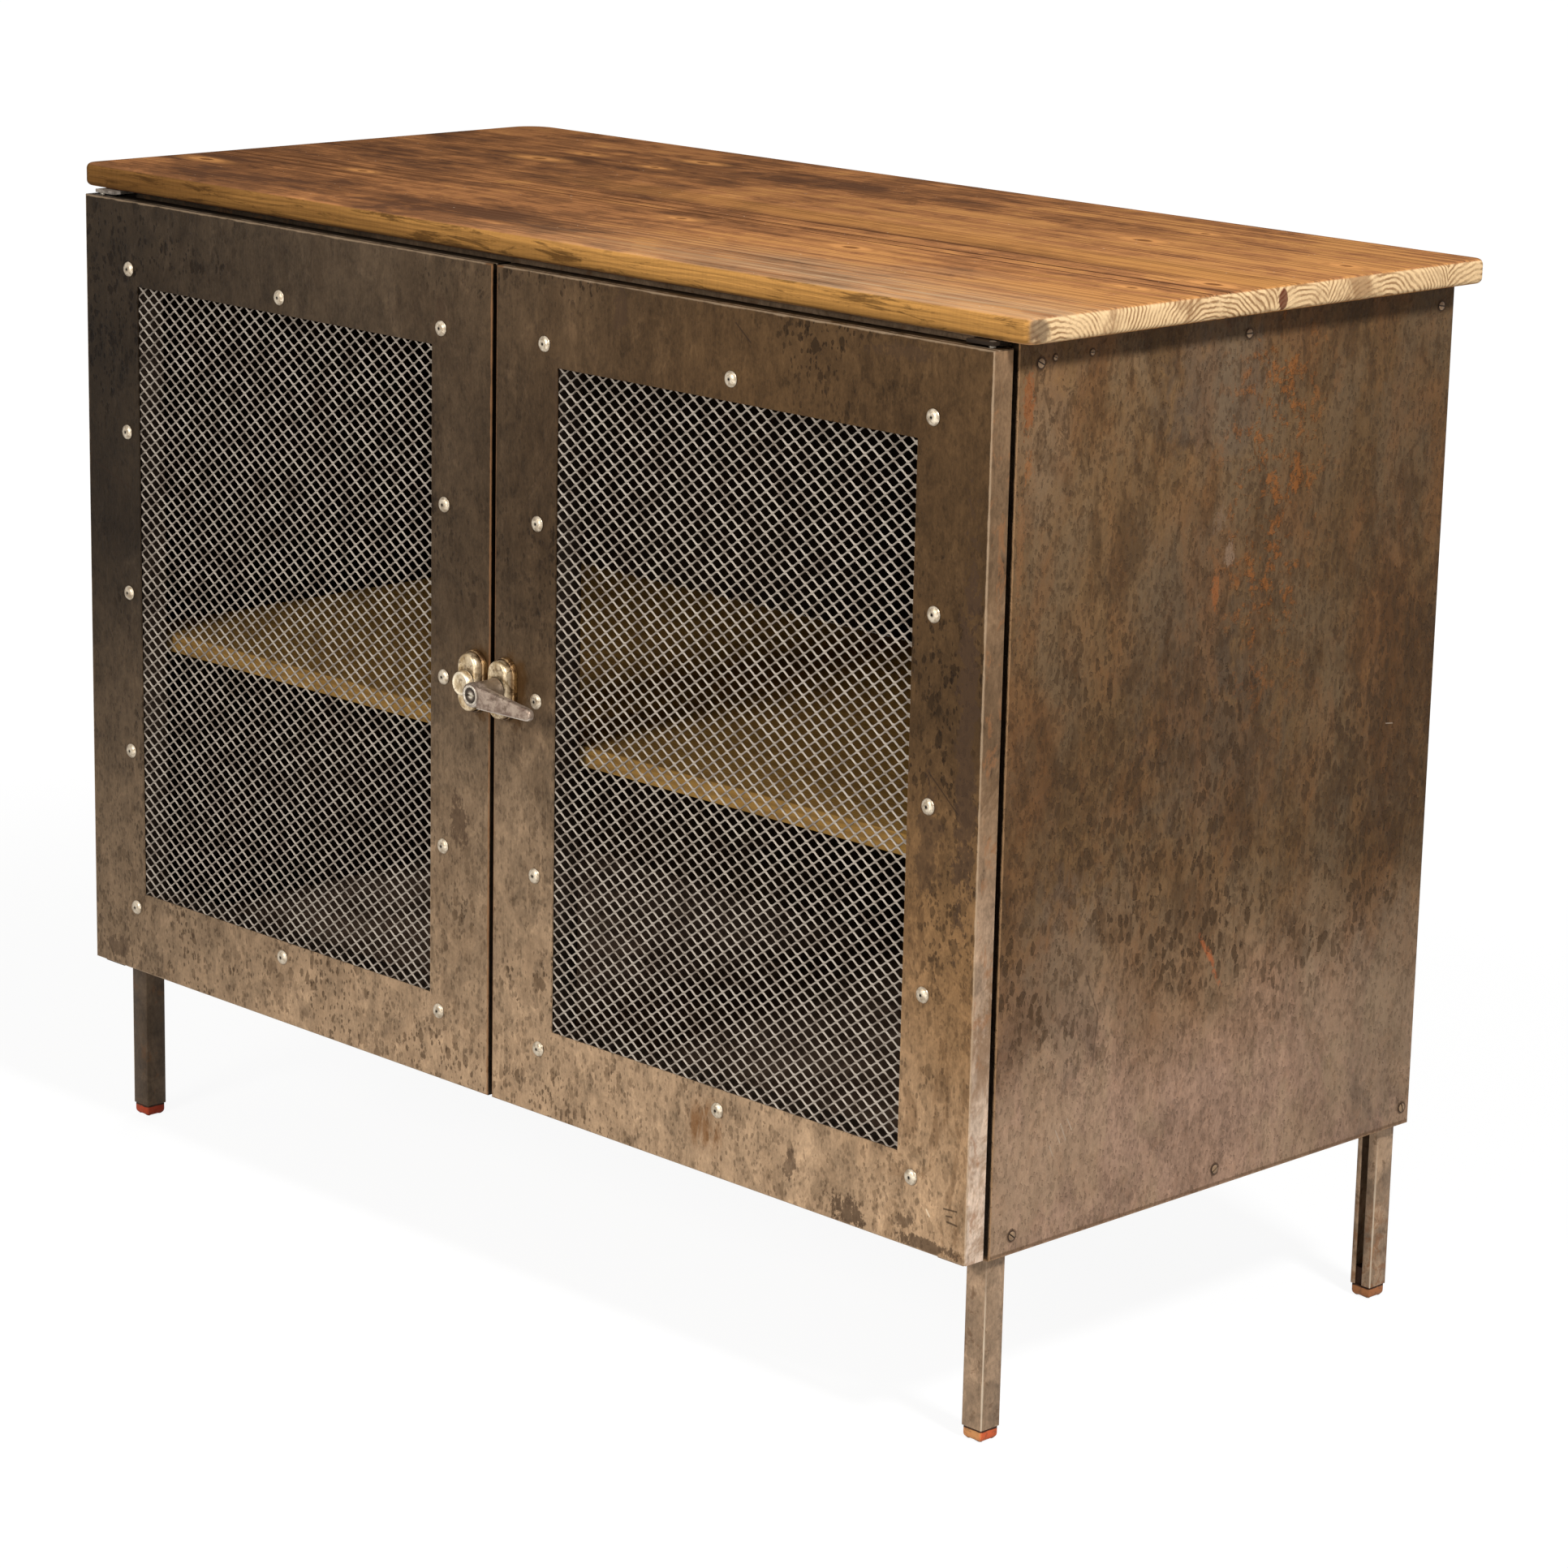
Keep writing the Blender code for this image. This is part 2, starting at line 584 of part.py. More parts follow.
def make_mesh(side, axis):
    """Expanded metal: a flat sheet with rows of diamond openings, half a step apart from row to row."""
    left, right, bottom, top = window_box(side)
    front = FACE_Y + MESH_FRONT
    back = front + MESH_THICKNESS
    low = (left - MESH_BORDER, front, bottom - MESH_BORDER)
    high = (right + MESH_BORDER, back, top + MESH_BORDER)
    sheet = add_piece(side + "_door_mesh", box_shape(low, high), (ZINC, 0.4, 0.8), axis)
    pitch_x = (right - left) / MESH_COLUMNS
    pitch_z = (top - bottom) / MESH_ROWS
    half_x = pitch_x / 2
    half_z = pitch_z / 2
    reach = half_x * half_z / math.hypot(half_x, half_z)
    keep = 1 - MESH_STRAND / 2 / reach
    diamonds = bmesh.new()
    for row in range(2 * MESH_ROWS + 1):
        for column in range(MESH_COLUMNS + 1):
            x = left + (column + (row % 2) / 2) * pitch_x
            z = bottom + row * half_z
            outline = [(x + half_x * keep, z), (x, z + half_z * keep), (x - half_x * keep, z), (x, z - half_z * keep)]
            add_prism(diamonds, outline, front - MESH_THICKNESS, back + MESH_THICKNESS, "Y")
    combine(sheet, diamonds, "DIFFERENCE", "diamonds")
    lattice = sheet.modifiers["diamonds"].object
    inside = box_shape((left + MESH_LAND, front - SHEET, bottom + MESH_LAND),
                       (right - MESH_LAND, back + SHEET, top - MESH_LAND))
    combine(lattice, inside, "INTERSECT", "window")


def make_clamp(side, axis):
    """An angle-iron ring: one leg lies flat behind the mesh, the other stands back from the window's edge.
    The rivets pass through the door and are closed behind the flat leg."""
    left, right, bottom, top = window_box(side)
    front = CLAMP_FRONT
    back = front + CLAMP_DEPTH
    angle = [(0, front), (CLAMP_FLANGE, front), (CLAMP_FLANGE, front + CLAMP_WALL), (CLAMP_WALL, front + CLAMP_WALL),
             (CLAMP_WALL, back), (0, back)]
    shape = bmesh.new()
    rings = []
    for outset, depth in angle:
        corners = ((left - outset, bottom - outset), (right + outset, bottom - outset),
                   (right + outset, top + outset), (left - outset, top + outset))
        rings.append([shape.verts.new((x, FACE_Y + depth, z)) for x, z in corners])
    for ring, following in zip(rings, rings[1:] + rings[:1]):
        for index in range(4):
            shape.faces.new((ring[index - 1], ring[index], following[index], following[index - 1]))
    clamp = add_piece(side + "_door_clamp_ring", shape, (DARK_STEEL, 0.5, 0.7), axis)

    rivets = bmesh.new()
    seat = -SEAT_GAP
    crown = seat - RIVET_HEAD_HEIGHT
    shoulder = seat - RIVET_HEAD_HEIGHT / 2
    leg_back = front + CLAMP_WALL
    profile = [
        (0, crown), (RIVET_HEAD_RADIUS / 2, crown), (RIVET_HEAD_RADIUS, shoulder), (RIVET_HEAD_RADIUS, seat),
        (RIVET_RADIUS, seat), (RIVET_RADIUS, leg_back - CLAMP_WALL / 2), (RIVET_TAIL_RADIUS, leg_back - CLAMP_WALL / 2),
        (RIVET_TAIL_RADIUS, leg_back + RIVET_TAIL_LENGTH), (0, leg_back + RIVET_TAIL_LENGTH),
    ]
    for x, z in rivet_places(side):
        add_turned(rivets, x, z, profile, RIVET_SIDES)
    combine(clamp, rivets, "UNION", "rivets")


def rosette_shape(x):
    """A cast oval with a thin flange, a raised body and a rounded rim."""
    shape = bmesh.new()
    width = ROSETTE_WIDTH / 2
    height = ROSETTE_HEIGHT / 2
    body_width = width - ROSETTE_STEP
    body_height = height - ROSETTE_STEP
    seat = -SEAT_GAP
    add_stack(shape, x, LATCH_HEIGHT, [
        (seat, width, height),
        (seat - ROSETTE_FLANGE, width, height),
        (seat - ROSETTE_FLANGE, body_width, body_height),
        (seat - ROSETTE_DEPTH + ROSETTE_ROUND, body_width, body_height),
        (seat - ROSETTE_DEPTH, body_width - ROSETTE_ROUND, body_height - ROSETTE_ROUND),
    ])
    return shape


def make_left_rosette(axis):
    x = -LATCH_FROM_MIDDLE
    brass = (BRASS, 0.4, 0.85)
    add_piece("left_rosette", rosette_shape(x), brass, axis, smooth=True)
    seat = -2 * SEAT_GAP - ROSETTE_DEPTH
    front = seat - BOSS_LENGTH
    profile = [(0, front), (BOSS_RADIUS - BOSS_CHAMFER, front), (BOSS_RADIUS, front + BOSS_CHAMFER),
               (BOSS_RADIUS, seat), (0, seat)]
    add_piece("left_rosette_boss", turned_shape(x, LATCH_HEIGHT, profile), brass, axis, smooth=True)


def make_right_rosette(axis):
    x = LATCH_FROM_MIDDLE
    rosette = add_piece("right_rosette", rosette_shape(x), (BRASS, 0.4, 0.85), axis, smooth=True)
    hole = circle(x, LATCH_HEIGHT, SPINDLE_RADIUS + RUNNING_GAP, HOLE_SIDES)
    combine(rosette, prism_shape(hole, FACE_Y - 2 * ROSETTE_DEPTH, FACE_Y + SHEET, "Y"), "DIFFERENCE", "spindle_hole")


def make_lever(axis):
    """The lever and all that turns with it: its screw, the spindle through the door, the cam and the nut."""
    x = LATCH_FROM_MIDDLE
    z = LATCH_HEIGHT
    front = -LEVER_FRONT
    blade_back = front + LEVER_THICKNESS
    heading = -LEVER_DROOP
    outline = link_outline(x, z, LEVER_HUB_RADIUS, LEVER_TIP_RADIUS, LEVER_LENGTH - LEVER_TIP_RADIUS, heading)
    shape = prism_shape(outline, FACE_Y + front, FACE_Y + blade_back, "Y")
    faces = [face for face in shape.faces if abs(face.normal.y) > 0.9]
    bevel_edges(shape, {edge for face in faces for edge in face.edges}, LEVER_EDGE, 2)
    lever = add_piece("latch_lever", shape, (LEVER_METAL, 0.4, 0.8), axis, smooth=True)
    barrel_end = -2 * SEAT_GAP - ROSETTE_DEPTH
    overlap = blade_back - LEVER_THICKNESS / 2
    barrel = [(0, overlap), (BARREL_RADIUS, overlap), (BARREL_RADIUS, barrel_end - ROSETTE_ROUND),
              (BARREL_FLARE, barrel_end), (0, barrel_end)]
    combine(lever, turned_shape(x, z, barrel), "UNION", "barrel")
    eye_floor = front + EYE_DEPTH
    bore = SPINDLE_RADIUS + SEAT_GAP
    hole = SCREW_RADIUS + SEAT_GAP
    web_back = eye_floor + LEVER_WEB
    passage = [(0, front - EYE_DEPTH), (EYE_RADIUS, front - EYE_DEPTH), (EYE_RADIUS, eye_floor), (hole, eye_floor),
               (hole, web_back), (bore, web_back), (bore, 0), (0, 0)]
    combine(lever, turned_shape(x, z, passage, HOLE_SIDES), "DIFFERENCE", "passage")

    head_back = eye_floor - SEAT_GAP
    head_front = head_back - SCREW_HEAD_HEIGHT
    screw_end = head_back + SCREW_REACH
    screw_profile = [(0, head_front), (SCREW_HEAD_RADIUS, head_front), (SCREW_HEAD_RADIUS, head_back),
                     (SCREW_RADIUS, head_back), (SCREW_RADIUS, screw_end), (0, screw_end)]
    screw = add_piece("lever_screw", turned_shape(x, z, screw_profile), (ZINC, 0.35, 0.9), axis, smooth=True)
    slot = box_shape((x - SCREW_HEAD_RADIUS * 2, FACE_Y + head_front - SCREW_SLOT, z - SCREW_SLOT / 2),
                     (x + SCREW_HEAD_RADIUS * 2, FACE_Y + head_front + SCREW_SLOT_DEPTH, z + SCREW_SLOT / 2))
    combine(screw, slot, "DIFFERENCE", "slot")

    rod = turned_shape(x, z, rod_profile(SPINDLE_RADIUS, SPINDLE_FRONT, SPINDLE_TAIL))
    spindle = add_piece("latch_spindle", rod, (ZINC, 0.4, 0.85), axis, smooth=True)
    tapped = rod_profile(hole, SPINDLE_FRONT - LEVER_WEB, screw_end + SEAT_GAP)
    combine(spindle, turned_shape(x, z, tapped, HOLE_SIDES), "DIFFERENCE", "tapped_hole")

    cam_back = CAM_FRONT + CAM_THICKNESS
    outline = link_outline(x, z, CAM_HUB_RADIUS, CAM_TIP_RADIUS, CAM_LENGTH, -math.pi / 2)
    shape = prism_shape(outline, FACE_Y + CAM_FRONT, FACE_Y + cam_back, "Y")
    cam = add_piece("latch_cam", shape, (DARK_STEEL, 0.45, 0.8), axis)
    spindle_hole = circle(x, z, bore, HOLE_SIDES)
    through = prism_shape(spindle_hole, FACE_Y + CAM_FRONT - CAM_THICKNESS, FACE_Y + cam_back + CAM_THICKNESS, "Y")
    combine(cam, through, "DIFFERENCE", "spindle_hole")

    nut_front = cam_back + SEAT_GAP
    nut_back = nut_front + NUT_HEIGHT
    shape = prism_shape(circle(x, z, NUT_RADIUS, 6), FACE_Y + nut_front, FACE_Y + nut_back, "Y")
    nut = add_piece("cam_nut", shape, (ZINC, 0.4, 0.85), axis)
    through = prism_shape(spindle_hole, FACE_Y + nut_front - NUT_HEIGHT, FACE_Y + nut_back + NUT_HEIGHT, "Y")
    combine(nut, through, "DIFFERENCE", "bore")


def main():
    clear_scene()
    case = add_axis("case_origin", Vector((0, 0, 0)))
    make_frame(case)
    make_panels(case)
    make_timber(case)
    make_pivot_plates(case)
    doors = {}
    for side in ("left", "right"):
        doors[side] = add_axis(side + "_door_axis", place(side, PIVOT_FROM_SIDE, PIVOT_FROM_FACE, DOOR_BOTTOM), case)
        make_door(side, doors[side])
    make_left_rosette(doors["left"])
    make_right_rosette(doors["right"])
    lever_axis = add_axis("lever_axis", Vector((LATCH_FROM_MIDDLE, FACE_Y, LATCH_HEIGHT)), doors["right"])
    make_lever(lever_axis)


main()
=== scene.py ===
import math

import bmesh
import bpy
from mathutils import Matrix, Vector


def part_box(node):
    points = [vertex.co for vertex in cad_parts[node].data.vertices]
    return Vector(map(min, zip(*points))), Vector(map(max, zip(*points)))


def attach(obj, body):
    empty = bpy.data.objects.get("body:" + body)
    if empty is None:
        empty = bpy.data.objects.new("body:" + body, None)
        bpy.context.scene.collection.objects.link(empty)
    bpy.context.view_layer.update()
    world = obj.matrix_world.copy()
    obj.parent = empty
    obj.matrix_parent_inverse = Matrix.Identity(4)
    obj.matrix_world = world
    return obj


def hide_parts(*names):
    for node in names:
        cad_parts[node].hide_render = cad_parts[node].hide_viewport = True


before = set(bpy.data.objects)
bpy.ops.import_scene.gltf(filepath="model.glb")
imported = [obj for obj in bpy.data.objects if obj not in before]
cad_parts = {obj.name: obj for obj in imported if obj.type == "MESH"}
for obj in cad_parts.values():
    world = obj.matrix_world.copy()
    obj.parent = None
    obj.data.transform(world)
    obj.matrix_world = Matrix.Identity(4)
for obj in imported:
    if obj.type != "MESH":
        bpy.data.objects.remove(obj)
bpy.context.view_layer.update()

# The cabinet's own sizes, as its solids have them
FACE_Y = -0.23315
CASE_HALF = 0.5
DOOR_HALF_GAP = 0.0025
DOOR_LOW = 0.1425
DOOR_HIGH = 0.7815
WINDOW = {"left": (-0.4325, -0.07), "right": (0.07, 0.4325)}
WINDOW_LOW = 0.21
WINDOW_HIGH = 0.714
RIVET_CORNER_ACROSS = {"left": 0.0105, "right": 0.014}
RIVET_SIDE_ACROSS = {"left": 0.015, "right": 0.02}
RIVET_ROW_BEYOND = {"left": 0.013, "right": 0.016}
LATCH_X = 0.017
LATCH_Z = 0.466
PANEL_LOW = 0.14
PANEL_FRONT = FACE_Y + 0.0245
TOP_FRONT = FACE_Y + 0.011
TOP_REAR = FACE_Y + 0.503
TOP_HALF = 0.522
TOP_LOW = 0.786
TOP_HIGH = 0.804

# The slotted screws of a side panel: depth behind the doors' face, height, radius and turn
PANEL_SCREWS = (
    (0.047, 0.154, 0.0038, 0.9), (0.265, 0.154, 0.0038, 2.1), (0.484, 0.154, 0.0038, 0.3),
    (0.046, 0.769, 0.0038, 1.1), (0.261, 0.769, 0.0036, 1.6), (0.478, 0.769, 0.0036, 1.4),
    (0.06, 0.7715, 0.0022, 1.2), (0.097, 0.7715, 0.0024, 1.5),
)

# For mesh work: the distance at which corners merge, and an angle in radians that only square edges pass
MERGE = 1e-6
RIGHT_ANGLES = 1.0


# Shader maths

class Value:
    """Something that a finish works out at each point of a surface. Arithmetic on it adds Math nodes."""

    def __init__(self, nodes, socket):
        self.nodes = nodes
        self.socket = socket

    def math(self, operation, *values):
        return self.nodes.node("ShaderNodeMath", {"operation": operation}, dict(enumerate(values)))

    def __add__(self, other):
        return self.math("ADD", self, other)

    def __sub__(self, other):
        return self.math("SUBTRACT", self, other)

    def __rsub__(self, other):
        return self.math("SUBTRACT", other, self)

    def __mul__(self, other):
        return self.math("MULTIPLY", self, other)

    def __truediv__(self, other):
        return self.math("DIVIDE", self, other)

    def __rtruediv__(self, other):
        return self.math("DIVIDE", other, self)

    def __pow__(self, other):
        return self.math("POWER", self, other)

    def __abs__(self):
        return self.math("ABSOLUTE", self)

    def __gt__(self, other):
        return self.math("GREATER_THAN", self, other)

    __radd__ = __add__
    __rmul__ = __mul__

    def least(self, other):
        return self.math("MINIMUM", self, other)

    def most(self, other):
        return self.math("MAXIMUM", self, other)

    def wave(self):
        return self.math("SINE", self)


class Nodes:
    """A node tree, and the one way that nodes are added to it."""

    def __init__(self, tree):
        self.tree = tree

    def node(self, kind, settings=None, sockets=None, output=0):
        node = self.tree.nodes.new(kind)
        for name, value in (settings or {}).items():
            setattr(node, name, value)
        for key, value in (sockets or {}).items():
            if isinstance(value, Value):
                self.tree.links.new(value.socket, node.inputs[key])
            else:
                node.inputs[key].default_value = value
        return Value(self, node.outputs[output]) if node.outputs else None


class Finish(Nodes):
    """A material made of nodes on the piece's own coordinates."""

    def __init__(self, name):
        self.material = bpy.data.materials.new(name)
        self.material.use_nodes = True
        super().__init__(self.material.node_tree)
        self.shader = self.tree.nodes["Principled BSDF"]
        self.spot = self.node("ShaderNodeTexCoord", output="Object")
        self.x, self.y, self.z = self.split(self.spot)
        self.colour = None

    def split(self, vector):
        return [self.node("ShaderNodeSeparateXYZ", {}, {0: vector}, axis) for axis in "XYZ"]

    def normal(self):
        return self.split(self.node("ShaderNodeNewGeometry", output="Normal"))

    def stretch(self, scale):
        return self.node("ShaderNodeVectorMath", {"operation": "MULTIPLY"}, {0: self.spot, 1: scale})

    def shift(self, vector, offset):
        return self.node("ShaderNodeVectorMath", {"operation": "ADD"}, {0: vector, 1: offset})

    def noise(self, scale, detail=3.0, rough=0.5, bend=0.0, vector=None):
        sockets = {"Vector": vector or self.spot, "Scale": scale, "Detail": detail, "Roughness": rough,
                   "Distortion": bend}
        return self.node("ShaderNodeTexNoise", {}, sockets)

    def grained(self, scale, detail, rough, bend=0.0, offset=None):
        """Noise with a scale of its own along each axis."""
        vector = self.stretch(scale)
        if offset:
            vector = self.shift(vector, offset)
        return self.noise(1.0, detail, rough, bend, vector)

    def blend(self, first, second, amount):
        colours = [colour if isinstance(colour, Value) else (*colour, 1.0) for colour in (first, second)]
        sockets = {0: amount, 6: colours[0], 7: colours[1]}
        return self.node("ShaderNodeMix", {"data_type": "RGBA"}, sockets, 2)

    def tint(self, colour, amount):
        """Darken or lighten a colour by a number."""
        return self.node("ShaderNodeVectorMath", {"operation": "SCALE"}, {0: colour, "Scale": amount})

    def lay(self, shade, amount):
        """Lay a shade over the colour so far."""
        self.colour = self.blend(self.colour, shade, amount)

    def dim(self, amount):
        """Darken or lighten the colour so far by a number."""
        self.colour = self.tint(self.colour, amount)

    def patch(self, scale, seed, low, high, grain=0.68, bend=0.6, vector=None):
        """Ragged patches: 1 inside them and 0 between."""
        moved = self.shift(vector or self.spot, (seed * 1.7, seed * 2.3, seed * 0.9))
        return step(self.noise(scale, 5.0, grain, bend, moved), low, high)

    def drops(self, scale, seed, size, frayed, vector):
        """Small separate drops of every size up to one: 1 inside them and 0 between."""
        sockets = {"Vector": self.shift(vector, (seed * 1.3, seed * 2.1, seed * 0.7)), "Scale": scale}
        reach = self.node("ShaderNodeTexVoronoi", {}, sockets, "Distance")
        chance = self.split(self.node("ShaderNodeTexVoronoi", {}, sockets, "Color"))[0]
        return step(reach + frayed - chance ** 2 * size, 0.06, -0.02)

    def bump(self, height, depth):
        return self.node("ShaderNodeBump", {}, {"Height": height, "Strength": 1.0, "Distance": depth})

    def done(self, rough, metallic, relief, shine):
        links = {"Base Color": self.colour, "Roughness": rough, "Metallic": metallic, "Normal": relief}
        for name, value in links.items():
            if isinstance(value, Value):
                self.tree.links.new(value.socket, self.shader.inputs[name])
            else:
                self.shader.inputs[name].default_value = value
        self.shader.inputs["Specular IOR Level"].default_value = shine
        return self.material


def step(value, low, high):
    """0 at low and 1 at high, with a soft passage between; low may be the larger."""
    sockets = {"Value": value, "From Min": low, "From Max": high}
    return value.nodes.node("ShaderNodeMapRange", {"interpolation_type": "SMOOTHSTEP"}, sockets)


def ring(across, along, width, length):
    """Distance from the middle of an oval, 1 at its rim."""
    return ((across / width) ** 2 + (along / length) ** 2) ** 0.5


def scratch(start, end, width, plane):
    """1 on a straight line between two points of a plane and 0 past its width."""
    first, second = plane
    run = (end[0] - start[0], end[1] - start[1])
    length = math.hypot(*run)
    from_first = first - start[0]
    from_second = second - start[1]
    along = ((from_first * run[0] + from_second * run[1]) / length ** 2).least(1.0).most(0.0)
    off_first = from_first - along * run[0]
    off_second = from_second - along * run[1]
    return step((off_first ** 2 + off_second ** 2) ** 0.5, width, width * 0.3)


# Finishes

def aged_steel(finish, hue, level, brushed):
    """Colour a finish as old bare steel: cloudy, mottled, brushed upright and finely grained."""
    cloud = finish.noise(9.0, 4.0, 0.6, 0.5)
    mottle = finish.noise(75.0, 6.0, 0.68, 0.6, finish.stretch((1.0, 1.0, 0.65)))
    grain = finish.noise(420.0, 3.0, 0.7, 0.0, finish.stretch((1.0, 1.0, 0.6)))
    brush = finish.grained((240.0, 240.0, 11.0), 4.0, 0.6)
    sway = 1.0 + (cloud - 0.5) * 0.9 + (mottle - 0.5) * 1.6 + (grain - 0.5) * 0.9
    sway = sway + (brush - 0.5) * brushed
    finish.colour = finish.tint(hue, level * sway.most(0.22))
    return mottle, grain


def door_steel():
    finish = Finish("door_steel")
    x, y, z = finish.x, finish.y, finish.z
    plane = (x, z)
    depth = y - FACE_Y
    # Painted light in the level: it rises towards the foot, partly a paler worn patina and partly a
    # painted reflection of the bright floor; the left part is darkened as painted shade where less light
    # falls, and the upper right is a little brighter.
    drift = finish.noise(7.0, 3.0) - 0.5
    foot = step(z + drift * 0.16 + 0.03 * step(x, 0.05, -0.1), 0.57, 0.12)
    turned_edge = step(abs(x), CASE_HALF - 0.001, CASE_HALF - 0.0004)
    hue = finish.blend((0.4, 0.22, 0.095), (0.4, 0.268, 0.162), step(x - foot * 0.55, 0.3, -0.2))
    hue = finish.blend(hue, (0.4, 0.306, 0.234), turned_edge * (0.25 + 0.75 * foot))
    level = (0.178 + 0.68 * foot) * (0.34 + 0.66 * step(x + drift * 0.3 + foot * 0.14, -0.58, -0.04))
    level = level * (1.0 - 0.2 * step(abs(z - 0.58), 0.16, 0.06))
    level = level * (1.0 + 0.12 * step(x, 0.15, 0.4) * (1.0 - foot))
    level = level * (1.0 + turned_edge * (0.78 + 0.7 * step(z, 0.35, 0.6)))
    mottle, grain = aged_steel(finish, hue, level, 0.4)

    drawn = finish.stretch((1.0, 1.0, 0.6))
    frayed = (mottle - 0.5) * 0.7 + (grain - 0.5) * 0.7
    flat_face = 1.0 - turned_edge
    worn = finish.patch(28.0, 5.0, 0.54, 0.66, 0.72, 0.6, drawn)
    finish.dim(1.0 + 0.3 * worn)
    right_stile = step(x, 0.4, 0.46) * step(z, 0.56, 0.4)
    brown = finish.patch(22.0, 1.0, 0.5, 0.6, 0.8, 0.8, drawn)
    stain = finish.tint((0.4, 0.208, 0.092), level * 0.42)
    finish.lay(stain, brown * (0.2 - 0.08 * foot + 0.43 * right_stile))
    crowd = (finish.patch(6.0, 3.0, 0.48, 0.63) + foot * 0.5).least(1.0)
    crowd = crowd * (1.0 - 0.55 * step(x, 0.16, 0.3) * foot)
    flecks = finish.drops(150.0, 2.0, 0.62, frayed, drawn) * (0.06 + 0.94 * crowd) * flat_face
    finish.lay(finish.tint((0.4, 0.218, 0.1), level * 0.22 + 0.004), flecks * (0.72 - 0.14 * foot))
    specks = finish.drops(340.0, 4.0, 0.56, frayed, drawn) * (0.25 + 0.75 * crowd) * flat_face
    finish.lay(finish.tint((0.4, 0.212, 0.098), level * 0.13 + 0.004), specks * 0.66)
    blush = finish.patch(70.0, 9.0, 0.54, 0.62, 0.72, 0.5, drawn) * turned_edge
    finish.lay((0.3, 0.13, 0.052), blush * 0.45)
    rust_runs = finish.patch(1.0, 6.0, 0.47, 0.58, 0.6, 0.3, finish.stretch((130.0, 130.0, 32.0)))
    rust_zone = step(ring(x - 0.238, z - 0.18, 0.024, 0.026) + (mottle - 0.5) * 1.4, 1.05, 0.4)
    finish.lay((0.185, 0.082, 0.028), rust_zone * (0.15 + 0.6 * rust_runs))
    stains = (
        (0.486, 0.52, 0.01, 0.13, 0.7), (0.385, 0.152, 0.02, 0.012, 0.75),
        (0.462, 0.148, 0.03, 0.006, 0.7), (0.135, 0.762, 0.008, 0.014, 0.55),
        (-0.038, 0.35, 0.01, 0.022, 0.6), (0.326, 0.172, 0.006, 0.01, 0.6),
        (0.412, 0.77, 0.03, 0.006, 0.45), (0.072, 0.69, 0.006, 0.03, 0.4),
        (-0.06, 0.735, 0.008, 0.02, 0.4), (-0.465, 0.158, 0.018, 0.008, 0.5),
        (0.452, 0.44, 0.012, 0.05, 0.45), (0.44, 0.16, 0.01, 0.006, 0.6),
    )
    for stain_x, stain_z, width, height, strength in stains:
        ragged = ring(x - stain_x, z - stain_z, width, height)
        ragged = ragged + (mottle - 0.5) * 3.6 + (grain - 0.5) * 1.6
        finish.lay((0.058, 0.033, 0.019), step(ragged, 1.0, 0.72) * strength)
    marks = (
        ((-0.491, 0.564), (-0.443, 0.549), 0.0011), ((0.255, 0.77), (0.27, 0.758), 0.0009),
        ((0.4786, 0.1792), (0.4907, 0.18), 0.001), ((0.4812, 0.1745), (0.4862, 0.175), 0.001),
        ((0.482, 0.1704), (0.4911, 0.1698), 0.0011), ((0.452, 0.486), (0.48, 0.462), 0.0008),
    )
    for start, end, width in marks:
        finish.lay((0.026, 0.015, 0.009), scratch(start, end, width, plane) * 0.75)
    finish.lay((0.7, 0.58, 0.42), scratch((0.462, 0.174), (0.465, 0.17), 0.001, plane) * 0.7)
    for side, lean in ((-LATCH_X, 0.004), (LATCH_X, 0.005)):
        grime = step(ring(x - side - lean, z - LATCH_Z, 0.019, 0.032) + (mottle - 0.5) * 1.4, 1.05, 0.65)
        finish.lay((0.075, 0.036, 0.011), grime * 0.75)

    # Folds are rubbed bright along their corners, and painted shade darkens the meeting edges inside the
    # gap
    inside = step(depth, 0.0008, 0.0016)
    finish.dim(1.0 - 0.9 * inside * step(abs(x), 0.004, 0.0034))
    fold = abs(abs(x) - CASE_HALF).least(abs(abs(x) - DOOR_HALF_GAP))
    fold = fold.least(abs(z - DOOR_LOW)).least(abs(z - DOOR_HIGH))
    rub = step(fold.most(depth) + (finish.noise(80.0, 3.0) - 0.5) * 0.0022, 0.0016, 0.0005)
    meeting = step(abs(x), 0.012, 0.008)
    finish.lay(finish.blend((0.33, 0.235, 0.15), (0.2, 0.096, 0.042), meeting), rub * 0.7)
    # Painted shade: the top fold is darkened, most towards its back, where the pine top shades it; a thin
    # pale broken line runs along it.
    top_fold = step(abs(z - DOOR_HIGH), 0.0012, 0.0006)
    finish.dim(1.0 - top_fold * (0.2 + 0.6 * step(depth, 0.0055, 0.0085)))
    line = step(abs(depth - 0.0048), 0.0011, 0.0005) * finish.patch(40.0, 8.0, 0.4, 0.56)
    finish.lay((0.33, 0.245, 0.17), top_fold * line * 0.55)
    rough = 0.46 + 0.2 * mottle - 0.08 * worn
    relief = finish.bump(mottle * 0.6 + grain * 0.3 - specks * 0.4 - flecks * 0.3, 0.0006)
    return finish.done(rough, 0.3, relief, shine=0.05)


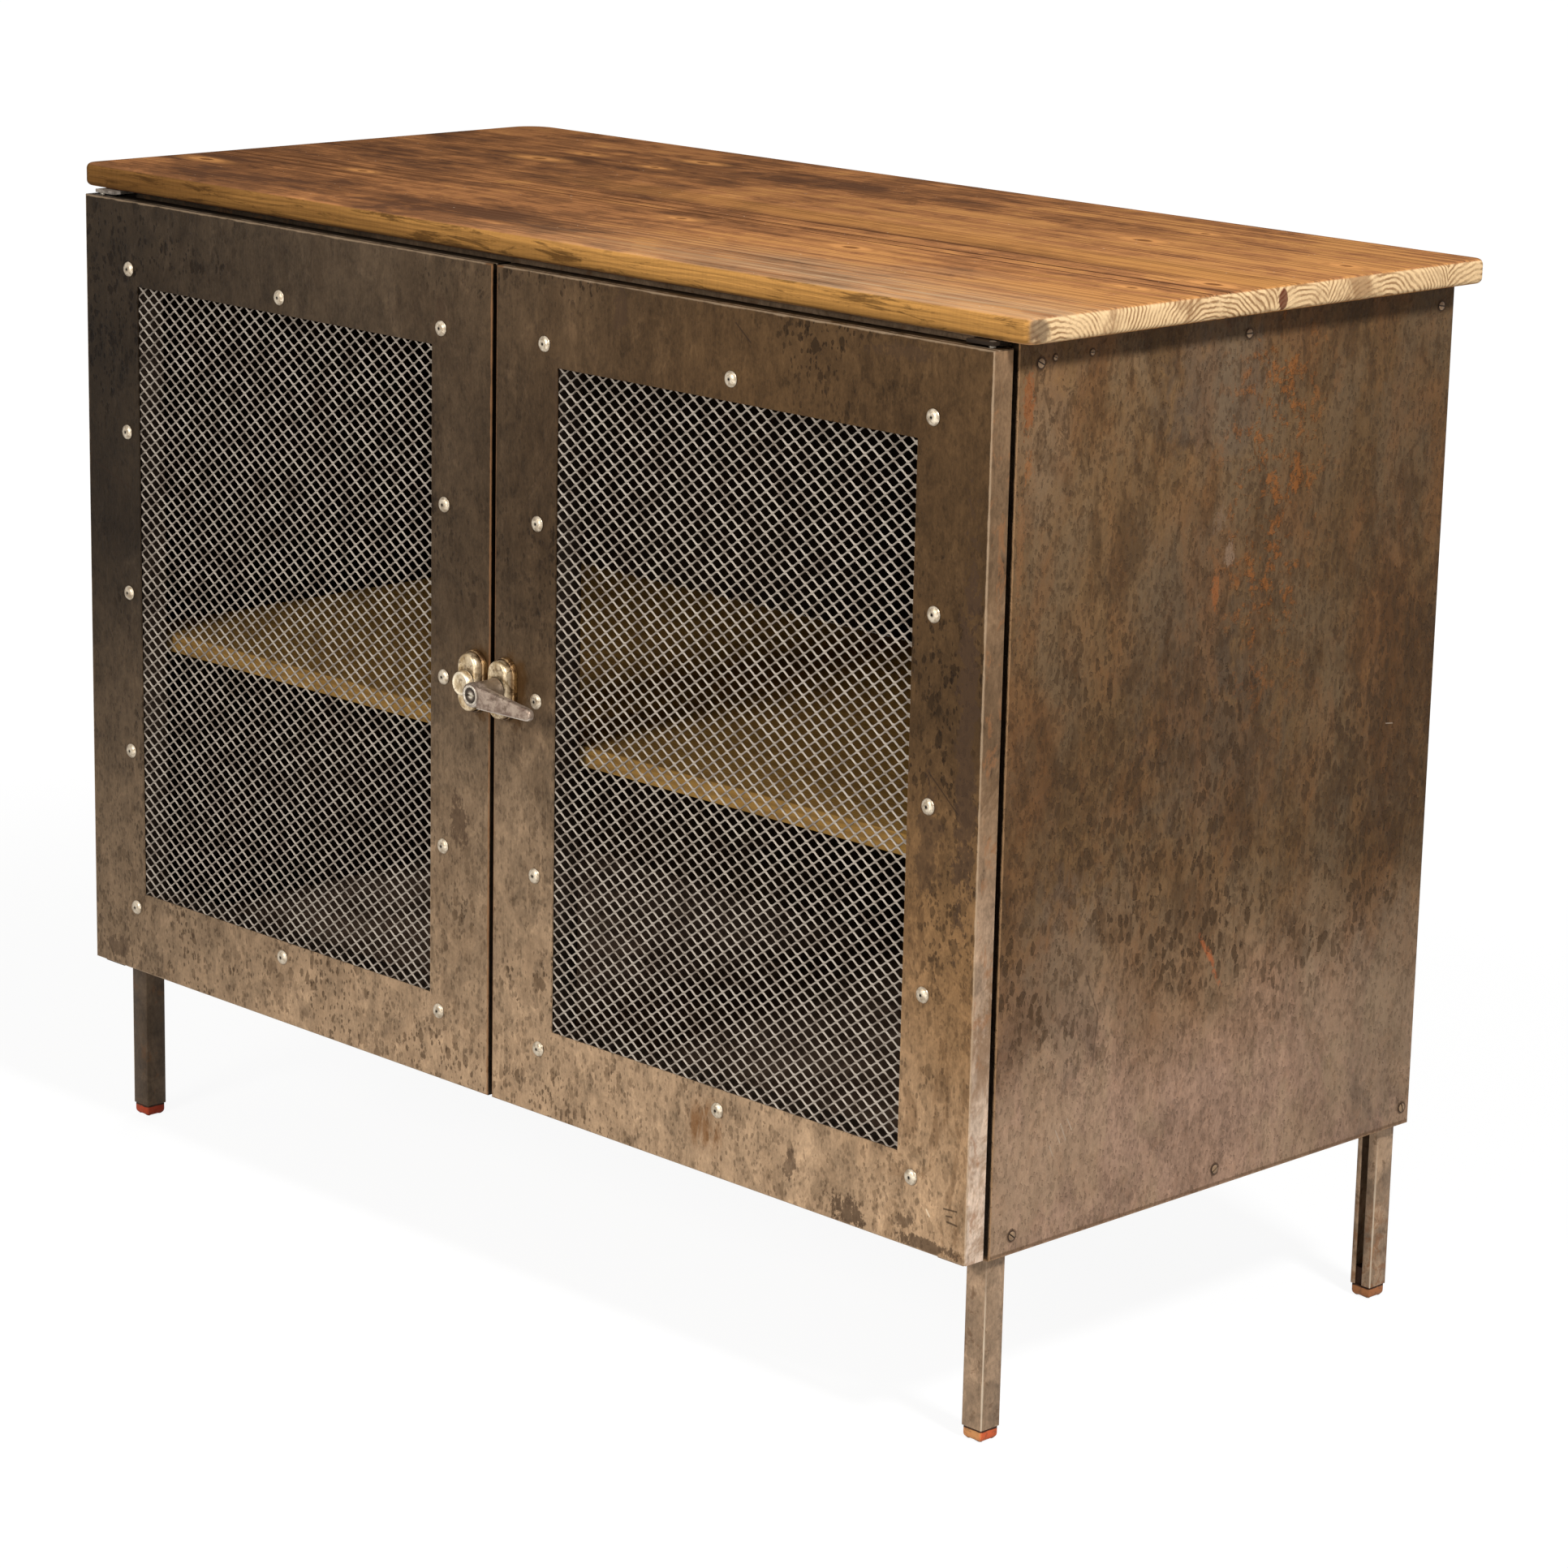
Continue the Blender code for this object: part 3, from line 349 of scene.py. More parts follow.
def side_steel():
    finish = Finish("side_steel")
    x, y, z = finish.x, finish.y, finish.z
    plane = (y, z)
    # Painted light in the level: it rises towards the foot, partly a paler worn patina and partly a
    # painted reflection of the bright floor; it is also higher near the top front and lower towards the
    # rear.
    drift = finish.noise(6.0, 3.0) - 0.5
    foot = step(z + drift * 0.2, 0.4, 0.2)
    hue = finish.blend((0.4, 0.222, 0.096), (0.4, 0.25, 0.17), foot)
    level = 0.275 + 0.47 * foot + 0.1 * step(z - y * 0.3 + drift * 0.1, 0.6, 0.8)
    level = level * (1.0 - 0.16 * step(y, 0.02, 0.24))
    # Painted shadow: the band under the pine top's overhang is darkened.
    level = level * (1.0 - 0.32 * step(z + drift * 0.008, 0.76, 0.768))
    mottle, grain = aged_steel(finish, hue, level, 0.3)

    drawn = finish.stretch((1.0, 1.0, 0.5))
    frayed = (mottle - 0.5) * 0.6 + (grain - 0.5) * 0.8
    zones = (
        (-0.022, 0.568, 0.08, 0.06, (0.084, 0.057, 0.037), 0.5),
        (0.01, 0.467, 0.075, 0.06, (0.074, 0.05, 0.033), 0.5),
        (0.006, 0.727, 0.05, 0.045, (0.118, 0.084, 0.06), 0.5),
        (-0.16, 0.318, 0.05, 0.07, (0.155, 0.104, 0.074), 0.4),
        (0.222, 0.225, 0.04, 0.09, (0.135, 0.094, 0.07), 0.5),
        (0.214, 0.494, 0.045, 0.11, (0.056, 0.027, 0.011), 0.7),
        (-0.18, 0.489, 0.032, 0.06, (0.064, 0.031, 0.013), 0.55),
        (0.145, 0.477, 0.055, 0.05, (0.165, 0.11, 0.056), 0.25),
        (-0.11, 0.343, 0.06, 0.04, (0.25, 0.166, 0.098), 0.35),
        (0.177, 0.251, 0.06, 0.05, (0.29, 0.194, 0.12), 0.4),
        (-0.182, 0.715, 0.03, 0.06, (0.24, 0.14, 0.078), 0.35),
        (-0.12, 0.6, 0.06, 0.08, (0.19, 0.11, 0.05), 0.35),
    )
    for zone_y, zone_z, width, height, shade, strength in zones:
        near = ring(y - zone_y, z - zone_z, width, height) + drift * 1.6 + (mottle - 0.5) * 2.6
        finish.lay(finish.tint(shade, 0.55 + 0.9 * mottle), step(near, 1.35, 0.45) * strength)
    olive = finish.patch(13.0, 6.0, 0.43, 0.62, 0.68, 0.4, drawn)
    finish.lay(finish.tint((0.4, 0.278, 0.164), level * 1.3), olive * 0.4)
    russet = finish.patch(15.0, 13.0, 0.45, 0.64, 0.7, 0.4, drawn)
    finish.lay((0.175, 0.078, 0.03), russet * (0.42 - 0.34 * foot))
    umber = finish.patch(22.0, 2.0, 0.49, 0.63, 0.74, 0.4, drawn)
    finish.lay((0.048, 0.024, 0.01), umber * (0.56 - 0.36 * foot))
    crumbs = finish.patch(85.0, 11.0, 0.55, 0.6, 0.76, 0.6, drawn)
    finish.lay((0.052, 0.027, 0.012), crumbs * (0.55 - 0.38 * foot))
    rust_zone = step(ring(y - 0.062, z - 0.66, 0.06, 0.16), 1.35, 0.35)
    rust = finish.patch(64.0, 3.0, 0.53, 0.61, 0.8, 0.2) * (0.1 + 0.9 * rust_zone)
    finish.lay((0.27, 0.092, 0.022), rust * 0.62)
    band = step(abs(z - 0.43), 0.21, 0.1)
    crowd = finish.patch(7.0, 7.0, 0.4, 0.56)
    drops = finish.drops(210.0, 4.0, 0.7, frayed * 1.3, finish.stretch((1.0, 1.0, 0.48)))
    drops = drops * (0.03 + 0.97 * band * crowd)
    finish.lay((0.055, 0.03, 0.014), drops * 0.78)
    ticks = finish.drops(400.0, 9.0, 0.66, frayed, finish.stretch((1.0, 1.0, 0.55)))
    finish.lay((0.048, 0.026, 0.013), ticks * (0.34 - 0.16 * foot))
    fades = (
        (0.017, 0.614, 0.006, 0.008, (0.27, 0.176, 0.114), 0.55),
        (0.006, 0.64, 0.007, 0.01, (0.22, 0.14, 0.086), 0.45),
        (-0.198, 0.742, 0.006, 0.024, (0.25, 0.08, 0.022), 0.6),
        (-0.196, 0.7, 0.005, 0.012, (0.27, 0.1, 0.03), 0.5),
        (-0.202, 0.64, 0.004, 0.05, (0.23, 0.11, 0.046), 0.5),
        (0.004, 0.588, 0.004, 0.012, (0.3, 0.098, 0.028), 0.55),
    )
    for fade_y, fade_z, width, height, shade, strength in fades:
        ragged = ring(y - fade_y, z - fade_z, width, height)
        ragged = ragged + (mottle - 0.5) * 3.2 + (grain - 0.5) * 3.6
        finish.lay(shade, step(ragged, 1.05, 0.5) * strength)
    pale_marks = (
        ((-0.144, 0.222), (-0.139, 0.212), 0.0007), ((-0.139, 0.226), (-0.133, 0.213), 0.0007),
        ((-0.132, 0.228), (-0.127, 0.219), 0.0007), ((-0.15, 0.212), (-0.146, 0.204), 0.0006),
        ((0.206, 0.462), (0.214, 0.461), 0.0006),
    )
    for start, end, width in pale_marks:
        finish.lay((0.42, 0.34, 0.26), scratch(start, end, width, plane) * 0.55)
    torn = finish.patch(160.0, 8.0, 0.42, 0.54)
    red_marks = (
        ((0.003, 0.337), (0.016, 0.317)), ((0.014, 0.325), (0.02, 0.312)), ((0.02, 0.308), (0.029, 0.294)),
    )
    for start, end in red_marks:
        finish.lay((0.38, 0.105, 0.034), scratch(start, end, 0.0026, plane) * torn * 0.6)
    for start, end in (((-0.118, 0.33), (-0.104, 0.3)), ((-0.104, 0.3), (-0.108, 0.262))):
        finish.lay((0.05, 0.03, 0.018), scratch(start, end, 0.001, plane) * 0.5)
    seat = 9.0
    for depth, height, radius, turn in PANEL_SCREWS:
        seat = ring(y - FACE_Y - depth, z - height, radius, radius).least(seat)
    dirt = step(seat + (grain - 0.5) * 0.6, 1.5, 1.2)
    finish.lay((0.05, 0.026, 0.013), dirt * 0.7)
    # Painted shade: the panel's face inside the case is darkened.
    inner_face_shade = step(abs(x), CASE_HALF - 0.0005, CASE_HALF - 0.001) * step(y - FACE_Y, 0.4925, 0.4915)
    finish.dim(1.0 - 0.88 * inner_face_shade)
    hem = step(abs(z - PANEL_LOW - 0.0024) + (grain - 0.5) * 0.0016, 0.0016, 0.0006)
    finish.lay((0.105, 0.055, 0.026), hem * 0.6)
    edge = abs(y - PANEL_FRONT).most(abs(abs(x) - CASE_HALF)).least(abs(z - PANEL_LOW))
    rub = step(edge + (finish.noise(90.0, 3.0) - 0.5) * 0.002, 0.0016, 0.0004)
    finish.lay((0.34, 0.195, 0.095), rub * 0.7)
    rough = 0.5 + 0.22 * mottle + 0.1 * rust
    relief = finish.bump(mottle * 0.8 + grain * 0.3 - drops * 0.5 + rust * 0.3 - ticks * 0.4, 0.0019)
    return finish.done(rough, 0.2, relief, shine=0.06)


def back_steel():
    """The sheet at the rear: aged as the sides are outside, with painted shade darkening its face inside
    the case.
    """
    finish = Finish("back_steel")
    drift = finish.noise(5.0, 3.0) - 0.5
    foot = step(finish.z + drift * 0.24, 0.48, 0.16)
    mottle, grain = aged_steel(finish, (0.4, 0.244, 0.132), 0.3 + 0.32 * foot, 0.4)
    umber = finish.patch(14.0, 4.0, 0.46, 0.64, 0.72, 0.3)
    finish.lay((0.062, 0.032, 0.014), umber * 0.5)
    rust = finish.patch(48.0, 5.0, 0.56, 0.63, 0.76, 0.6)
    finish.lay((0.23, 0.092, 0.03), rust * 0.45)
    # Painted shade: the face inside the case is darkened to a tenth.
    finish.dim(0.1 + 0.9 * step(finish.y - FACE_Y, 0.487, 0.4876))
    relief = finish.bump(mottle * 0.8 + grain * 0.3 + rust * 0.3, 0.0012)
    return finish.done(0.5 + 0.22 * mottle, 0.2, relief, shine=0.06)


def frame_steel():
    """Bare square section, brown with handling, bright at the corners, brighter low down, and darkened on
    the left-hand legs with painted shade.
    """
    finish = Finish("frame_steel")
    x, y, z = finish.x, finish.y, finish.z
    # Painted shade: the level falls to about a quarter towards the left-hand legs.
    level = (0.42 + 0.26 * step(z, 0.3, 0.1)) * (0.24 + 0.76 * step(x, -0.4, 0.2))
    mottle, grain = aged_steel(finish, (0.4, 0.268, 0.168), level, 0.5)
    olive = finish.patch(34.0, 2.0, 0.48, 0.62)
    finish.dim(1.0 + 0.35 * olive)
    bloom = finish.patch(75.0, 1.0, 0.54, 0.64)
    finish.lay((0.11, 0.054, 0.024), bloom * 0.55)
    leg_front = abs(y - FACE_Y - 0.031).least(abs(y - FACE_Y - 0.4675))
    corner = (abs(x) - 0.4922) ** 2 + leg_front ** 2
    worn = step(corner ** 0.5 + (finish.noise(40.0, 3.0) - 0.5) * 0.0018, 0.0012, 0.0004)
    rusty = finish.patch(90.0, 4.0, 0.5, 0.58, 0.76) * step(y, 0.1, 0.2) * step(z, 0.11, 0.03)
    finish.lay((0.23, 0.09, 0.03), rusty * 0.6)
    finish.lay((0.62, 0.5, 0.37), worn * step(z, 0.15, 0.06) * 0.8)
    relief = finish.bump(mottle * 0.5 + grain * 0.3, 0.0004)
    return finish.done(0.42 + 0.18 * mottle, 0.35, relief, shine=0.1)


def inner_steel(name, dark, pale):
    finish = Finish(name)
    cloud = finish.noise(12.0, 4.0, 0.6)
    grit = finish.noise(300.0, 3.0, 0.6)
    finish.colour = finish.blend(dark, pale, step(cloud, 0.35, 0.65))
    finish.dim(0.75 + 0.5 * grit)
    return finish.done(0.5 + 0.2 * cloud, 0.2, finish.bump(cloud + grit * 0.3, 0.0003), shine=0.1)


def plain_metal(name, dark, pale, scale, rough, metallic, hollow=None):
    """Small metal pieces: dull and bright in turn, with painted shade where their mesh is marked hollow.
    """
    finish = Finish(name)
    cloud = finish.noise(scale, 4.0, 0.65, 0.4)
    grit = finish.noise(900.0, 3.0, 0.6)
    finish.colour = finish.blend(dark, pale, step(cloud, 0.36, 0.62))
    finish.dim(0.8 + 0.4 * grit)
    if hollow:
        # Painted shade in the hollows that the mesh marks.
        marked = finish.node("ShaderNodeAttribute", {"attribute_name": hollow}, output="Fac")
        finish.dim(1.0 - 0.93 * marked)
    relief = finish.bump(cloud * 0.6 + grit * 0.4, 0.0002)
    return finish.done(rough + 0.22 * cloud, metallic, relief, shine=0.3)


def cast_brass():
    """Brown in the hollows and low on the flange, gold up the body, and a painted cream highlight along
    the rolled rim.
    """
    finish = Finish("cast_brass")
    cloud = finish.noise(120.0, 5.0, 0.68, 0.5)
    grit = finish.noise(900.0, 3.0, 0.6)
    rise = FACE_Y - finish.y
    finish.colour = finish.blend((0.31, 0.212, 0.104), (0.64, 0.51, 0.335), step(cloud, 0.36, 0.6))
    low = finish.blend((0.06, 0.028, 0.009), (0.26, 0.14, 0.046), step(cloud, 0.42, 0.6))
    finish.colour = finish.blend(low, finish.colour, step(rise + (cloud - 0.5) * 0.006, 0.003, 0.0085))
    # Painted highlight: cream along the rolled rim.
    rim = step(rise, 0.0108, 0.0116).most(step(rise, 0.0164, 0.0168))
    rim = rim * step(abs(rise - 0.0145), 0.0018, 0.0024)
    finish.lay((0.76, 0.66, 0.5), rim * 0.75)
    finish.lay((0.09, 0.046, 0.018), finish.patch(190.0, 1.0, 0.54, 0.62) * 0.65)
    finish.dim(0.8 + 0.4 * grit)
    relief = finish.bump(cloud * 0.8 + grit * 0.3, 0.0004)
    return finish.done(0.25 + 0.25 * cloud, 0.75, relief, shine=0.3)


def worn_lever():
    """Cast lever: rosy grey, brown in patches, dark about the eye, with a painted highlight along its
    lower edge.
    """
    finish = Finish("lever_metal")
    cloud = finish.noise(110.0, 5.0, 0.68, 0.5)
    grit = finish.noise(800.0, 3.0, 0.6)
    finish.colour = finish.blend((0.165, 0.108, 0.08), (0.36, 0.278, 0.214), step(cloud, 0.34, 0.6))
    barrel = step(FACE_Y - finish.y, 0.0285, 0.025)
    finish.lay((0.15, 0.105, 0.062), barrel * 0.75)
    finish.lay((0.085, 0.05, 0.03), finish.patch(170.0, 3.0, 0.55, 0.63) * 0.6)
    radius = ring(finish.x - LATCH_X, finish.z - LATCH_Z, 1.0, 1.0)
    rim = step(radius, 0.0072, 0.008) * step(radius, 0.0104, 0.0094)
    finish.lay((0.055, 0.038, 0.028), rim * step(FACE_Y - finish.y, 0.0325, 0.035) * 0.5)
    # Painted highlight: paler where the surface faces down, as the floor's light on the lower edge.
    finish.lay((0.64, 0.56, 0.48), step(finish.normal()[2], -0.2, -0.55) * (1.0 - barrel) * 0.7)
    finish.dim(0.8 + 0.4 * grit)
    relief = finish.bump(cloud * 0.7 + grit * 0.3, 0.0003)
    return finish.done(0.3 + 0.22 * cloud, 0.6, relief, shine=0.3)


def eye_screw():
    """The screw at the bottom of the lever's eye: a bright crown in a hollow darkened with painted shade.
    """
    finish = Finish("eye_screw")
    cloud = finish.noise(700.0, 3.0, 0.65)
    radius = ring(finish.x - LATCH_X, finish.z - LATCH_Z, 1.0, 1.0) + (cloud - 0.5) * 0.0016
    # Painted shade: darker outwards from the crown, into the hollow of the eye.
    finish.colour = finish.blend((0.56, 0.505, 0.41), (0.16, 0.12, 0.088), step(radius, 0.0016, 0.003))
    finish.lay((0.04, 0.028, 0.019), step(radius, 0.003, 0.004))
    return finish.done(0.28 + 0.2 * cloud, 0.6, finish.bump(cloud, 0.0002), shine=0.3)


def screw_brass():
    """Slotted heads with worn crowns, and painted shade in the slot and about the rim."""
    finish = Finish("screw_brass")
    cloud = finish.noise(240.0, 3.0)
    finish.colour = finish.blend((0.12, 0.068, 0.036), (0.4, 0.265, 0.155), cloud)
    # Painted shade where the head comes close to the panel.
    finish.lay((0.03, 0.016, 0.009), step(abs(finish.x) - CASE_HALF, 0.0006, 0.00042))
    return finish.done(0.4 + 0.2 * cloud, 0.25, finish.bump(cloud, 0.0002), shine=0.2)


def foot_plastic(name, light, deep):
    """A moulded plug: one colour on its front, another on its ends, and painted shade at the seam under
    the leg.
    """
    finish = Finish(name)
    cloud = finish.noise(120.0, 4.0, 0.65)
    scuff = finish.patch(260.0, 1.0, 0.54, 0.64)
    ends = abs(finish.normal()[0]) + (cloud - 0.5) * 1.2
    finish.colour = finish.blend(light, deep, ends.least(1.0).most(0.0))
    finish.lay((0.16, 0.085, 0.045), scuff * 0.5)
    # Painted shade: dark at the seam and up the spigot inside the leg.
    finish.lay((0.04, 0.018, 0.01), step(finish.z + (cloud - 0.5) * 0.002, 0.0074, 0.0084))
    return finish.done(0.5 + 0.2 * cloud, 0.0, finish.bump(cloud + scuff * 0.4, 0.0004), shine=0.1)


BOARD_JOINTS = (-0.142, 0.03, 0.086, 0.222)
BOARD_HEARTS = (-0.205, -0.035, 0.058, 0.15, 0.262)
BOARD_CHANGES = (0.06, 0.12, -0.08, 0.04)
KNOTS = (
    (-0.33, 0.104, 1.2), (-0.33, 0.157, 0.8), (-0.23, 0.196, 1.0), (-0.23, 0.141, 0.7),
    (0.306, 0.135, 1.3), (0.484, 0.152, 0.9), (0.309, 0.202, 0.7), (0.487, 0.002, 1.1),
    (0.464, -0.057, 0.8), (0.206, -0.071, 1.2), (0.017, -0.062, 0.9), (-0.48, -0.126, 1.1),
    (-0.347, -0.071, 0.8),
)


def growth_rings(finish, hearts, joints, depth):
    """Rings about each board's own heart, which lies below the board and wanders along its length."""
    drift = finish.grained((2.2, 6.0, 6.0), 3.0, 0.5)
    ripple = finish.grained((7.0, 50.0, 50.0), 3.0, 0.55)
    heart = hearts[0]
    for joint, before, after in zip(joints, hearts, hearts[1:]):
        heart = heart + (finish.y > joint) * (after - before)
    across = finish.y - heart + (drift - 0.5) * 0.05
    rise = finish.z - depth + (drift - 0.5) * 0.036
    distance = (across ** 2 + rise ** 2) ** 0.5 + (ripple - 0.5) * 0.0075
    return step((distance * 1750.0).wave(), -0.35, 0.85)


def stained_pine():
    finish = Finish("stained_pine")
    x, y, z = finish.x, finish.y, finish.z
    ends, fronts = (abs(part) for part in finish.normal()[:2])
    rings = growth_rings(finish, BOARD_HEARTS, BOARD_JOINTS, TOP_LOW - 0.028)
    fibre = finish.grained((9.0, 620.0, 620.0), 4.0, 0.65)
    band = finish.grained((2.6, 34.0, 34.0), 3.0, 0.6, 0.4)
    cloud = finish.grained((5.6, 9.5, 9.5), 4.0, 0.6, 0.8)
    smoke = finish.grained((13.0, 22.0, 22.0), 5.0, 0.66, 0.8, (3.1, 1.7, 0.4))

    # Stain on the upper face: brown at the rear, golden to the front, in soft clouds; the sweep from brown
    # at the left to golden at the right is partly stain and partly painted light that falls off to the
    # left
    streaks = finish.grained((3.2, 60.0, 60.0), 5.0, 0.62, 0.5)
    threads = finish.grained((2.2, 170.0, 170.0), 4.0, 0.7, 0.3)
    blots = finish.grained((24.0, 46.0, 46.0), 5.0, 0.72, 0.6)
    sun = step(x, -0.68, 0.9)
    lively = step(x, -0.2, 0.25)
    tone = 0.28 + 0.5 * sun + 0.09 * lively + (cloud - 0.5) * 1.9 + (smoke - 0.5) * 1.2
    tone = tone + (streaks - 0.5) * (0.4 + 0.5 * lively) + (threads - 0.5) * (0.75 + 0.85 * lively)
    tone = tone + (blots - 0.5) * 1.3 + (band - 0.5) * 0.3
    cloudy = step(ring(x - 0.05, y - 0.19, 0.22, 0.06) + (cloud - 0.5) * 2.0, 1.3, 0.4)
    shaded = step(ring(x + 0.1, y + 0.15, 0.16, 0.04) + (cloud - 0.5) * 1.6, 1.3, 0.4)
    tone = tone - cloudy * 0.2 - shaded * 0.34
    for joint, change in zip(BOARD_JOINTS, BOARD_CHANGES):
        tone = tone + (y > joint) * change
    finish.colour = finish.blend((0.14, 0.066, 0.036), (0.258, 0.114, 0.05), step(tone, 0.04, 0.36))
    finish.lay((0.425, 0.185, 0.073), step(tone, 0.36, 0.66))
    finish.lay((0.56, 0.262, 0.09), step(tone, 0.66, 1.0))
    strip = step(abs(y - 0.034 + (band - 0.5) * 0.03), 0.03, 0.012) * step(x, -0.3, 0.05)
    finish.lay((0.56, 0.262, 0.074), strip * 0.45)
    stripes = step(finish.grained((1.4, 330.0, 330.0), 2.0, 0.6), 0.51, 0.57)
    bundle = step(abs(y + 0.018), 0.036, 0.014) * step(x, -0.42, -0.05)
    left_bundle = step(abs(y + 0.085), 0.05, 0.015) * step(x, -0.22, -0.34)
    lines = stripes * (0.28 + 0.56 * bundle + 0.35 * left_bundle + 0.12 * lively + 0.16 * shaded)
    finish.lay((0.085, 0.034, 0.015), lines)
    # Painted sheen: a pale haze towards the front right, standing for the light's reflection on the wax.
    painted_sheen = step(y + (cloud - 0.5) * 0.12, -0.085, -0.19) * step(x, -0.15, 0.4)
    finish.lay((0.5, 0.342, 0.202), painted_sheen * 0.75 * step(threads, 0.3, 0.66))
    finish.lay((0.085, 0.036, 0.016), rings * 0.14)
    glow = core = 9.0
    for knot_x, knot_y, size in KNOTS:
        along, across = x - knot_x, y - knot_y
        glow = ring(along, across, 0.036 * size, 0.0135 * size).least(glow)
        core = ring(along, across, 0.008 * size, 0.0046 * size).least(core)
    wobble = (smoke - 0.5) * 0.9 + (threads - 0.5) * 0.5
    glow = glow + wobble
    finish.lay((0.66, 0.305, 0.105), step(glow, 1.15, 0.2) * 0.92)
    whorl = step((glow * 11.0 + fibre * 2.0).wave(), 0.1, 1.0) * step(glow, 1.2, 0.5)
    finish.lay((0.19, 0.074, 0.026), whorl * 0.3)
    finish.lay((0.13, 0.046, 0.017), step(core + wobble * 0.8, 1.05, 0.55) * 0.75)
    nick = step(finish.noise(240.0, 2.0, 0.5), 0.74, 0.77)
    finish.lay((0.7, 0.56, 0.42), nick * 0.7)

    # Long edges: olive gold with dark weathering and fine saw marks
    edge_tone = step(x + (band - 0.5) * 0.6, -0.5, 0.2)
    edge = finish.blend((0.138, 0.062, 0.019), (0.48, 0.24, 0.066), edge_tone * 0.75 + fibre * 0.25)
    runs = finish.grained((7.0, 60.0, 330.0), 4.0, 0.65, 0.3)
    upper = step(z + (runs - 0.5) * 0.01, TOP_LOW + 0.004, TOP_LOW + 0.014)
    edge = finish.tint(edge, (0.6 + 0.8 * runs) * (0.8 + 0.22 * upper))
    dark_runs = finish.grained((16.0, 60.0, 130.0), 5.0, 0.7, 0.8)
    edge = finish.blend(edge, (0.055, 0.026, 0.009), step(dark_runs, 0.51, 0.63) * 0.75)
    saw = finish.grained((420.0, 40.0, 30.0), 2.0, 0.6)
    edge = finish.tint(edge, 0.87 + 0.26 * saw)
    edge = finish.blend(edge, (0.05, 0.028, 0.014), step(z, TOP_LOW + 0.005, TOP_LOW + 0.001) * 0.35)
    edge = finish.blend(edge, (0.08, 0.04, 0.016), rings * 0.22)
    finish.lay(edge, step(fronts, 0.45, 0.8))

    # End grain: pale, with brown rings that come and go
    uneven = finish.noise(45.0, 4.0, 0.65, 0.6)
    grain = finish.blend((0.72, 0.5, 0.275), (0.24, 0.122, 0.05), rings * step(uneven, 0.25, 0.62) * 0.85)
    grain = finish.blend(grain, (0.25, 0.128, 0.056), step(smoke, 0.5, 0.66) * 0.7)
    heart_stain = step(ring(y - 0.036, z - 0.795, 0.005, 0.009) + (uneven - 0.5) * 1.0, 1.0, 0.8)
    grain = finish.blend(grain, (0.1, 0.018, 0.01), heart_stain * 0.85)
    corner = ring(y - TOP_FRONT - 0.004, z - 0.797, 0.018, 0.011) + (uneven - 0.5) * 1.6
    grain = finish.blend(grain, (0.09, 0.055, 0.034), step(corner, 1.0, 0.5) * 0.75)
    finish.lay(grain, step(ends, 0.45, 0.8))

    finish.dim(0.78 + 0.44 * fibre)
    rough = 0.5 + 0.24 * fibre + 0.12 * ends
    relief = finish.bump(fibre * 0.5 + rings * 0.25 - lines * 0.4 + saw * fronts * 0.3, 0.0006)
    return finish.done(rough, 0.0, relief, shine=0.0)


def raw_pine():
    finish = Finish("raw_pine")
    rings = growth_rings(finish, (-0.12, 0.03, 0.16), (-0.05, 0.09), 0.38)
    fibre = finish.grained((9.0, 500.0, 500.0), 4.0, 0.65)
    band = finish.grained((3.0, 26.0, 26.0), 3.0, 0.6, 0.4)
    # Painted shade: the colours are darker than bare pine, for the dim inside of the case.
    finish.colour = finish.blend((0.265, 0.143, 0.038), (0.41, 0.234, 0.064), band)
    finish.lay((0.13, 0.07, 0.028), rings * 0.35)
    finish.dim(0.8 + 0.4 * fibre)
    return finish.done(0.6 + 0.15 * fibre, 0.0, finish.bump(fibre + rings * 0.3, 0.0004), shine=0.05)


# Shapes

def linked(name, data):
    """A new object in the scene."""
    made = bpy.data.objects.new(name, data)
    bpy.context.scene.collection.objects.link(made)
    return made


def as_mesh(name, shape):
    mesh = bpy.data.meshes.new(name)
    shape.to_mesh(mesh)
    shape.free()
    return mesh


def join(shape, other):
    """Add another shape to a shape."""
    mesh = as_mesh("joined", other)
    shape.from_mesh(mesh)
    bpy.data.meshes.remove(mesh)


def add_piece(name, shape, material, body, replaced=(), smooth=30.0):
    mesh = as_mesh(name, shape)
    mesh.materials.append(material)
    if smooth:
        mesh.shade_smooth()
        mesh.set_sharp_from_angle(angle=math.radians(smooth))
    piece = linked(name, mesh)
    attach(piece, body)
    if replaced:
        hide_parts(*replaced)


def every(shape):
    return list(shape.verts) + list(shape.edges) + list(shape.faces)


def copied(shape, geometry):
    """Copy geometry in place, and give the copy's corners."""
    made = bmesh.ops.duplicate(shape, geom=geometry)["geom"]
    return [item for item in made if isinstance(item, bmesh.types.BMVert)]


def pulled(shape, face, move):
    """Draw a face out of a shape, and give the face at the far end."""
    far = bmesh.ops.extrude_discrete_faces(shape, faces=[face])["faces"][0]
    bmesh.ops.translate(shape, verts=far.verts, vec=move)
    return far


def cut(shape, place, outward, sides=0):
    """Cut off what lies beyond a plane, and close the holes of up to so many sides, or all at 0."""
    bmesh.ops.bisect_plane(shape, geom=every(shape), plane_co=place, plane_no=outward, clear_outer=True)
    bmesh.ops.holes_fill(shape, edges=[edge for edge in shape.edges if edge.is_boundary], sides=sides)


def bevel(shape, edges, width, segments):
    bmesh.ops.bevel(shape, geom=list(edges), offset=width, segments=segments, profile=0.5, affect="EDGES",
                    material=-1)


def span(edge, axis):
    """How far an edge runs along one axis."""
    first, second = edge.verts
    return abs(first.co[axis] - second.co[axis])


def sharp_edges(shape, angle):
    """The edges at which a shape turns by more than an angle."""
    return [edge for edge in shape.edges if edge.calc_face_angle(0.0) > angle]


